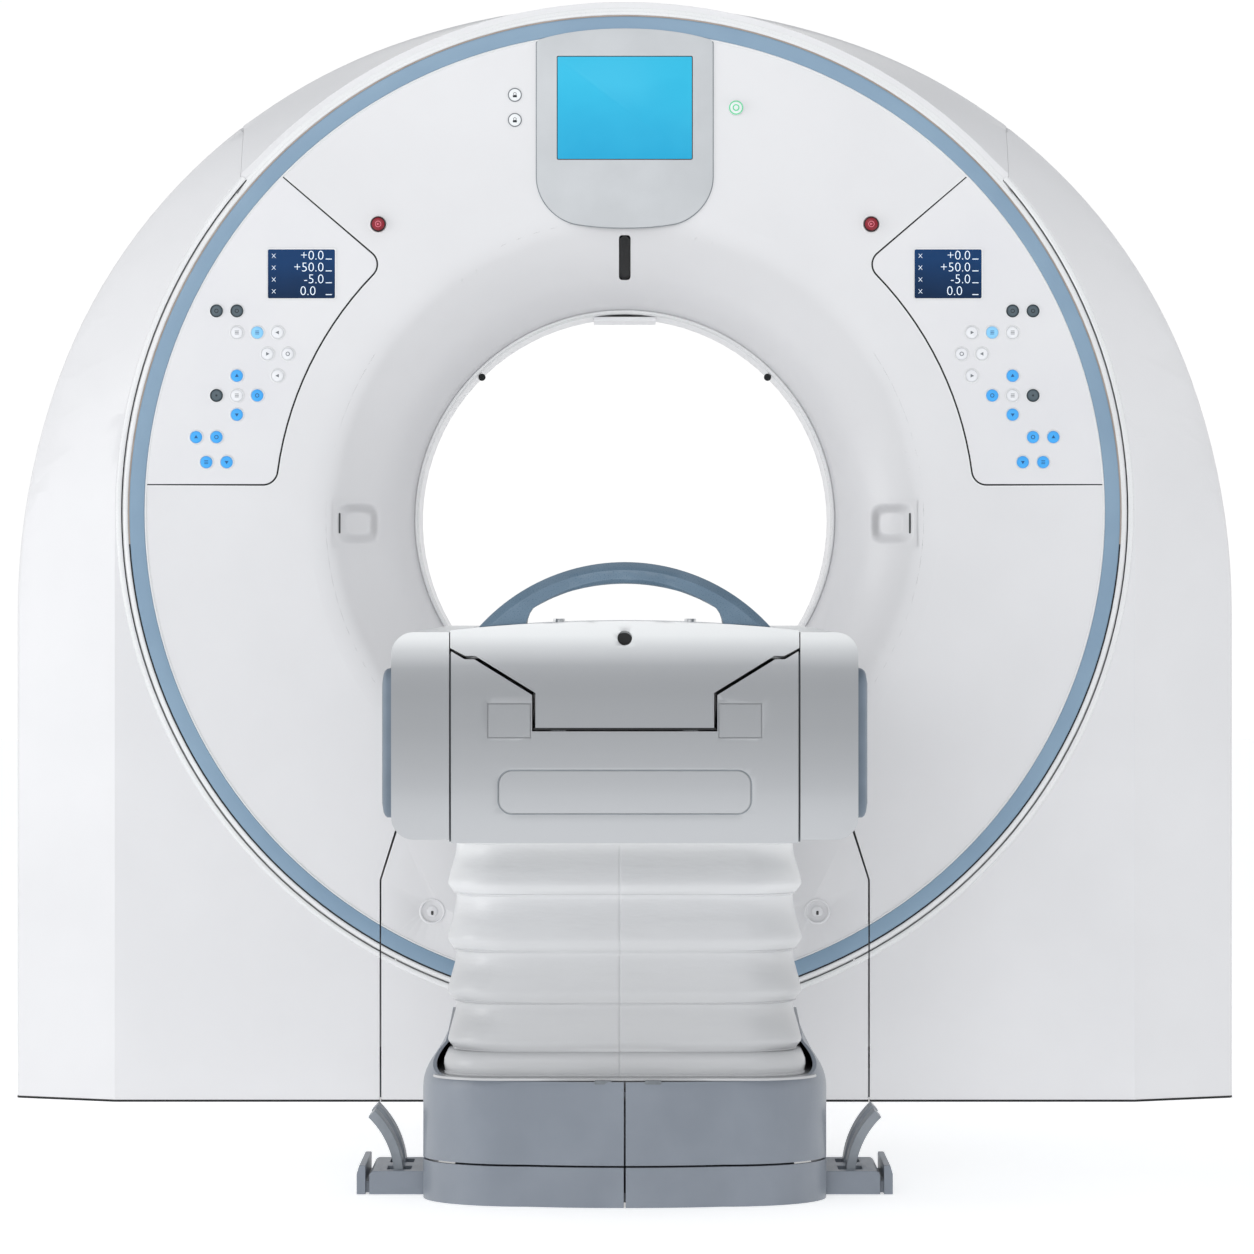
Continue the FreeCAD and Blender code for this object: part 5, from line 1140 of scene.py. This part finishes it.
def make_bellows():
    """The coated sleeve: each pleat sags to a tip, tucks under to a crease, and is hollow between.

    The cloth is slack round the corners, so its hollows are deepest there.
    """
    half_x, half_y = 0.2775, 0.4775
    form = flat_face([
        (half_x, -half_y, BELLOWS_FOOT), (half_x, half_y, BELLOWS_FOOT),
        (-half_x, half_y, BELLOWS_FOOT), (-half_x, -half_y, BELLOWS_FOOT),
    ], 0.085, 10)
    ops.delete(form, geom=form.faces[:], context="FACES_ONLY")
    sides = [edge for edge in form.edges if edge.calc_length() > 0.1]
    ops.subdivide_edges(form, edges=sides, cuts=13)
    ring = form.edges[:]
    outline = {vert: vert.co.copy() for vert in form.verts}
    for z, depth in bellows_rings():
        if z > BELLOWS_FOOT:
            old = {vert for edge in ring for vert in edge.verts}
            made = ops.extrude_edge_only(form, edges=ring)
            ring = [part for part in made["geom"] if isinstance(part, bmesh.types.BMEdge)]
            ring = [edge for edge in ring if not any(vert in old for vert in edge.verts)]
            by_place = {tuple(vert.co): outline[vert] for vert in old}
            outline = {}
            for vert in {vert for edge in ring for vert in edge.verts}:
                outline[vert] = by_place[tuple(vert.co)]
        for vert, flat in outline.items():
            along, across = abs(flat.y) / half_y, abs(flat.x) / half_x
            corner = min(1, 1.5 * (along * across) ** 6)
            slack = depth * (0.42 + 0.58 * corner) if depth > 0 else depth
            vert.co = (flat.x * (1 - slack / half_x), flat.y * (1 - slack / half_y), z)
    # a welded seam runs up the front
    seam = -0.008
    for x in (-0.0125, -0.0095, seam, -0.0065, -0.0035):
        cut_at(form, (x, 0, 0), ACROSS)
    for vert in form.verts:
        if abs(vert.co.x - seam) < 1e-4 and vert.co.y < 0:
            vert.co.y += 0.0012
    ops.translate(form, verts=form.verts, vec=(0, COLUMN_Y, 0))
    piece = show(outward(form), "bellows_sleeve", "bellows_white", ("bellows",), 50, body="stand")
    wall = piece.modifiers.new("wall", "SOLIDIFY")
    wall.thickness = 0.0025
    wall.offset = -1
    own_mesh(piece)


def roll(point):
    """How far the base's shoulders roll inwards at a place above its front edge."""
    higher = point.z - BELLOWS_FOOT + 0.045 * (point.y + 2.4)
    most = 0.03 + 0.0085 * min(max((-1.9 - point.y) / 0.4, 0), 1)
    return min(7.5 * max(higher, 0) ** 2, most) if point.z > 0.15 else 0


def rolled(form, half_x, half_y):
    """Draws the base's shoulders in by their roll, as a share of the outline's half sizes."""
    for vert in form.verts:
        vert.co.x *= 1 - roll(vert.co) / half_x
        vert.co.y = COLUMN_Y + (vert.co.y - COLUMN_Y) * (1 - roll(vert.co) / half_y)
    return form


def make_flange():
    """The bellows' clamping flange, which closes the base's top up to the cover's shoulders."""
    half_x, near, far, height = 0.303, COLUMN_Y - 0.508, COLUMN_Y + 0.508, 0.196
    outline = ((half_x, near), (half_x, far), (-half_x, far), (-half_x, near))
    form = flat_face([(x, y, height) for x, y in outline], 0.105, 12)
    # open in the middle, where the column's sections pass
    inner = form.faces[:]
    ops.inset_region(form, faces=inner, thickness=0.04, use_boundary=True)
    ops.delete(form, geom=inner, context="FACES")
    sliced(form, ALONG, -2.4, 0.07, 12)
    form = rolled(thickened(form, (0, 0, 0.0035)), half_x, 0.508)
    show(outward(form), "bellows_flange", "bellows_white", body="stand")


def make_base():
    """The base's cover and skirt, each in two halves that meet at a narrow dark joint."""
    cover = copied("base_cover")
    sliced(cover, UP, 0.151, 0.0085, 12)
    rolled(cover, 0.318, 0.525)
    for node, form, width in (("base_cover", cover, 5), ("base_skirt", copied("base_skirt"), 4)):
        open_seam(form, 0.0, 0.003, 1.0)
        soften(node, width, form, 3)
    # two catches hold the cover's halves together in front
    catches = [
        panel_between(x - 0.013, 0.1915, x + 0.013, 0.1975, -2.4985, 0.01, 0.002)
        for x in (-0.034, 0.044)
    ]
    show(joined(catches), "cover_catches", "mark_grey", body="stand")


def make_foot_shadow():
    """A black strip along the gantry's foot: a painted shadow where its covers meet the floor."""
    for node in ("right_stand_cover", "left_stand_cover", "lower_front_panel", "lower_rear_panel"):
        form = copied(node)
        cut_at(form, (0, 0, 0.004), UP, clear_outer=True)
        closed(form).normal_update()
        for vert in form.verts:
            out = Vector((vert.normal.x, vert.normal.y, 0))
            vert.co += out * 0.0006
        show(form, node + "_foot_strip", "shadow_seal", body="stand")


# ---- build ----

EDGE_ROUNDING = {
    "right_stand_cover": 3, "left_stand_cover": 3, "lower_front_panel": 2, "lower_rear_panel": 2,
    "service_panel": 1.5, "pedal_trays": 2, "right_front_pedal": 3, "right_rear_pedal": 3,
    "left_front_pedal": 3, "left_rear_pedal": 3, "cradle": 2,
}


def dress_nodes():
    """Every solid gets its finish; those that show their edges get them rounded too."""
    for name, solid in frame["nodes"].items():
        solid.data.materials.clear()
        solid.data.materials.append(finishes[slot_of_node[name]])
    for name, width in EDGE_ROUNDING.items():
        soften(name, width)


set_camera()
set_studio()
finishes = make_finishes()
dress_nodes()
make_front_cover()
make_hood()
make_consoles()
make_lock_faces()
make_ring()
make_display()
make_lamps()
make_buttons()
make_readouts()
make_keys()
make_flare_details()
make_side_pads()
make_couch_end()
make_handle()
make_bellows()
make_flange()
make_base()
make_foot_shadow()
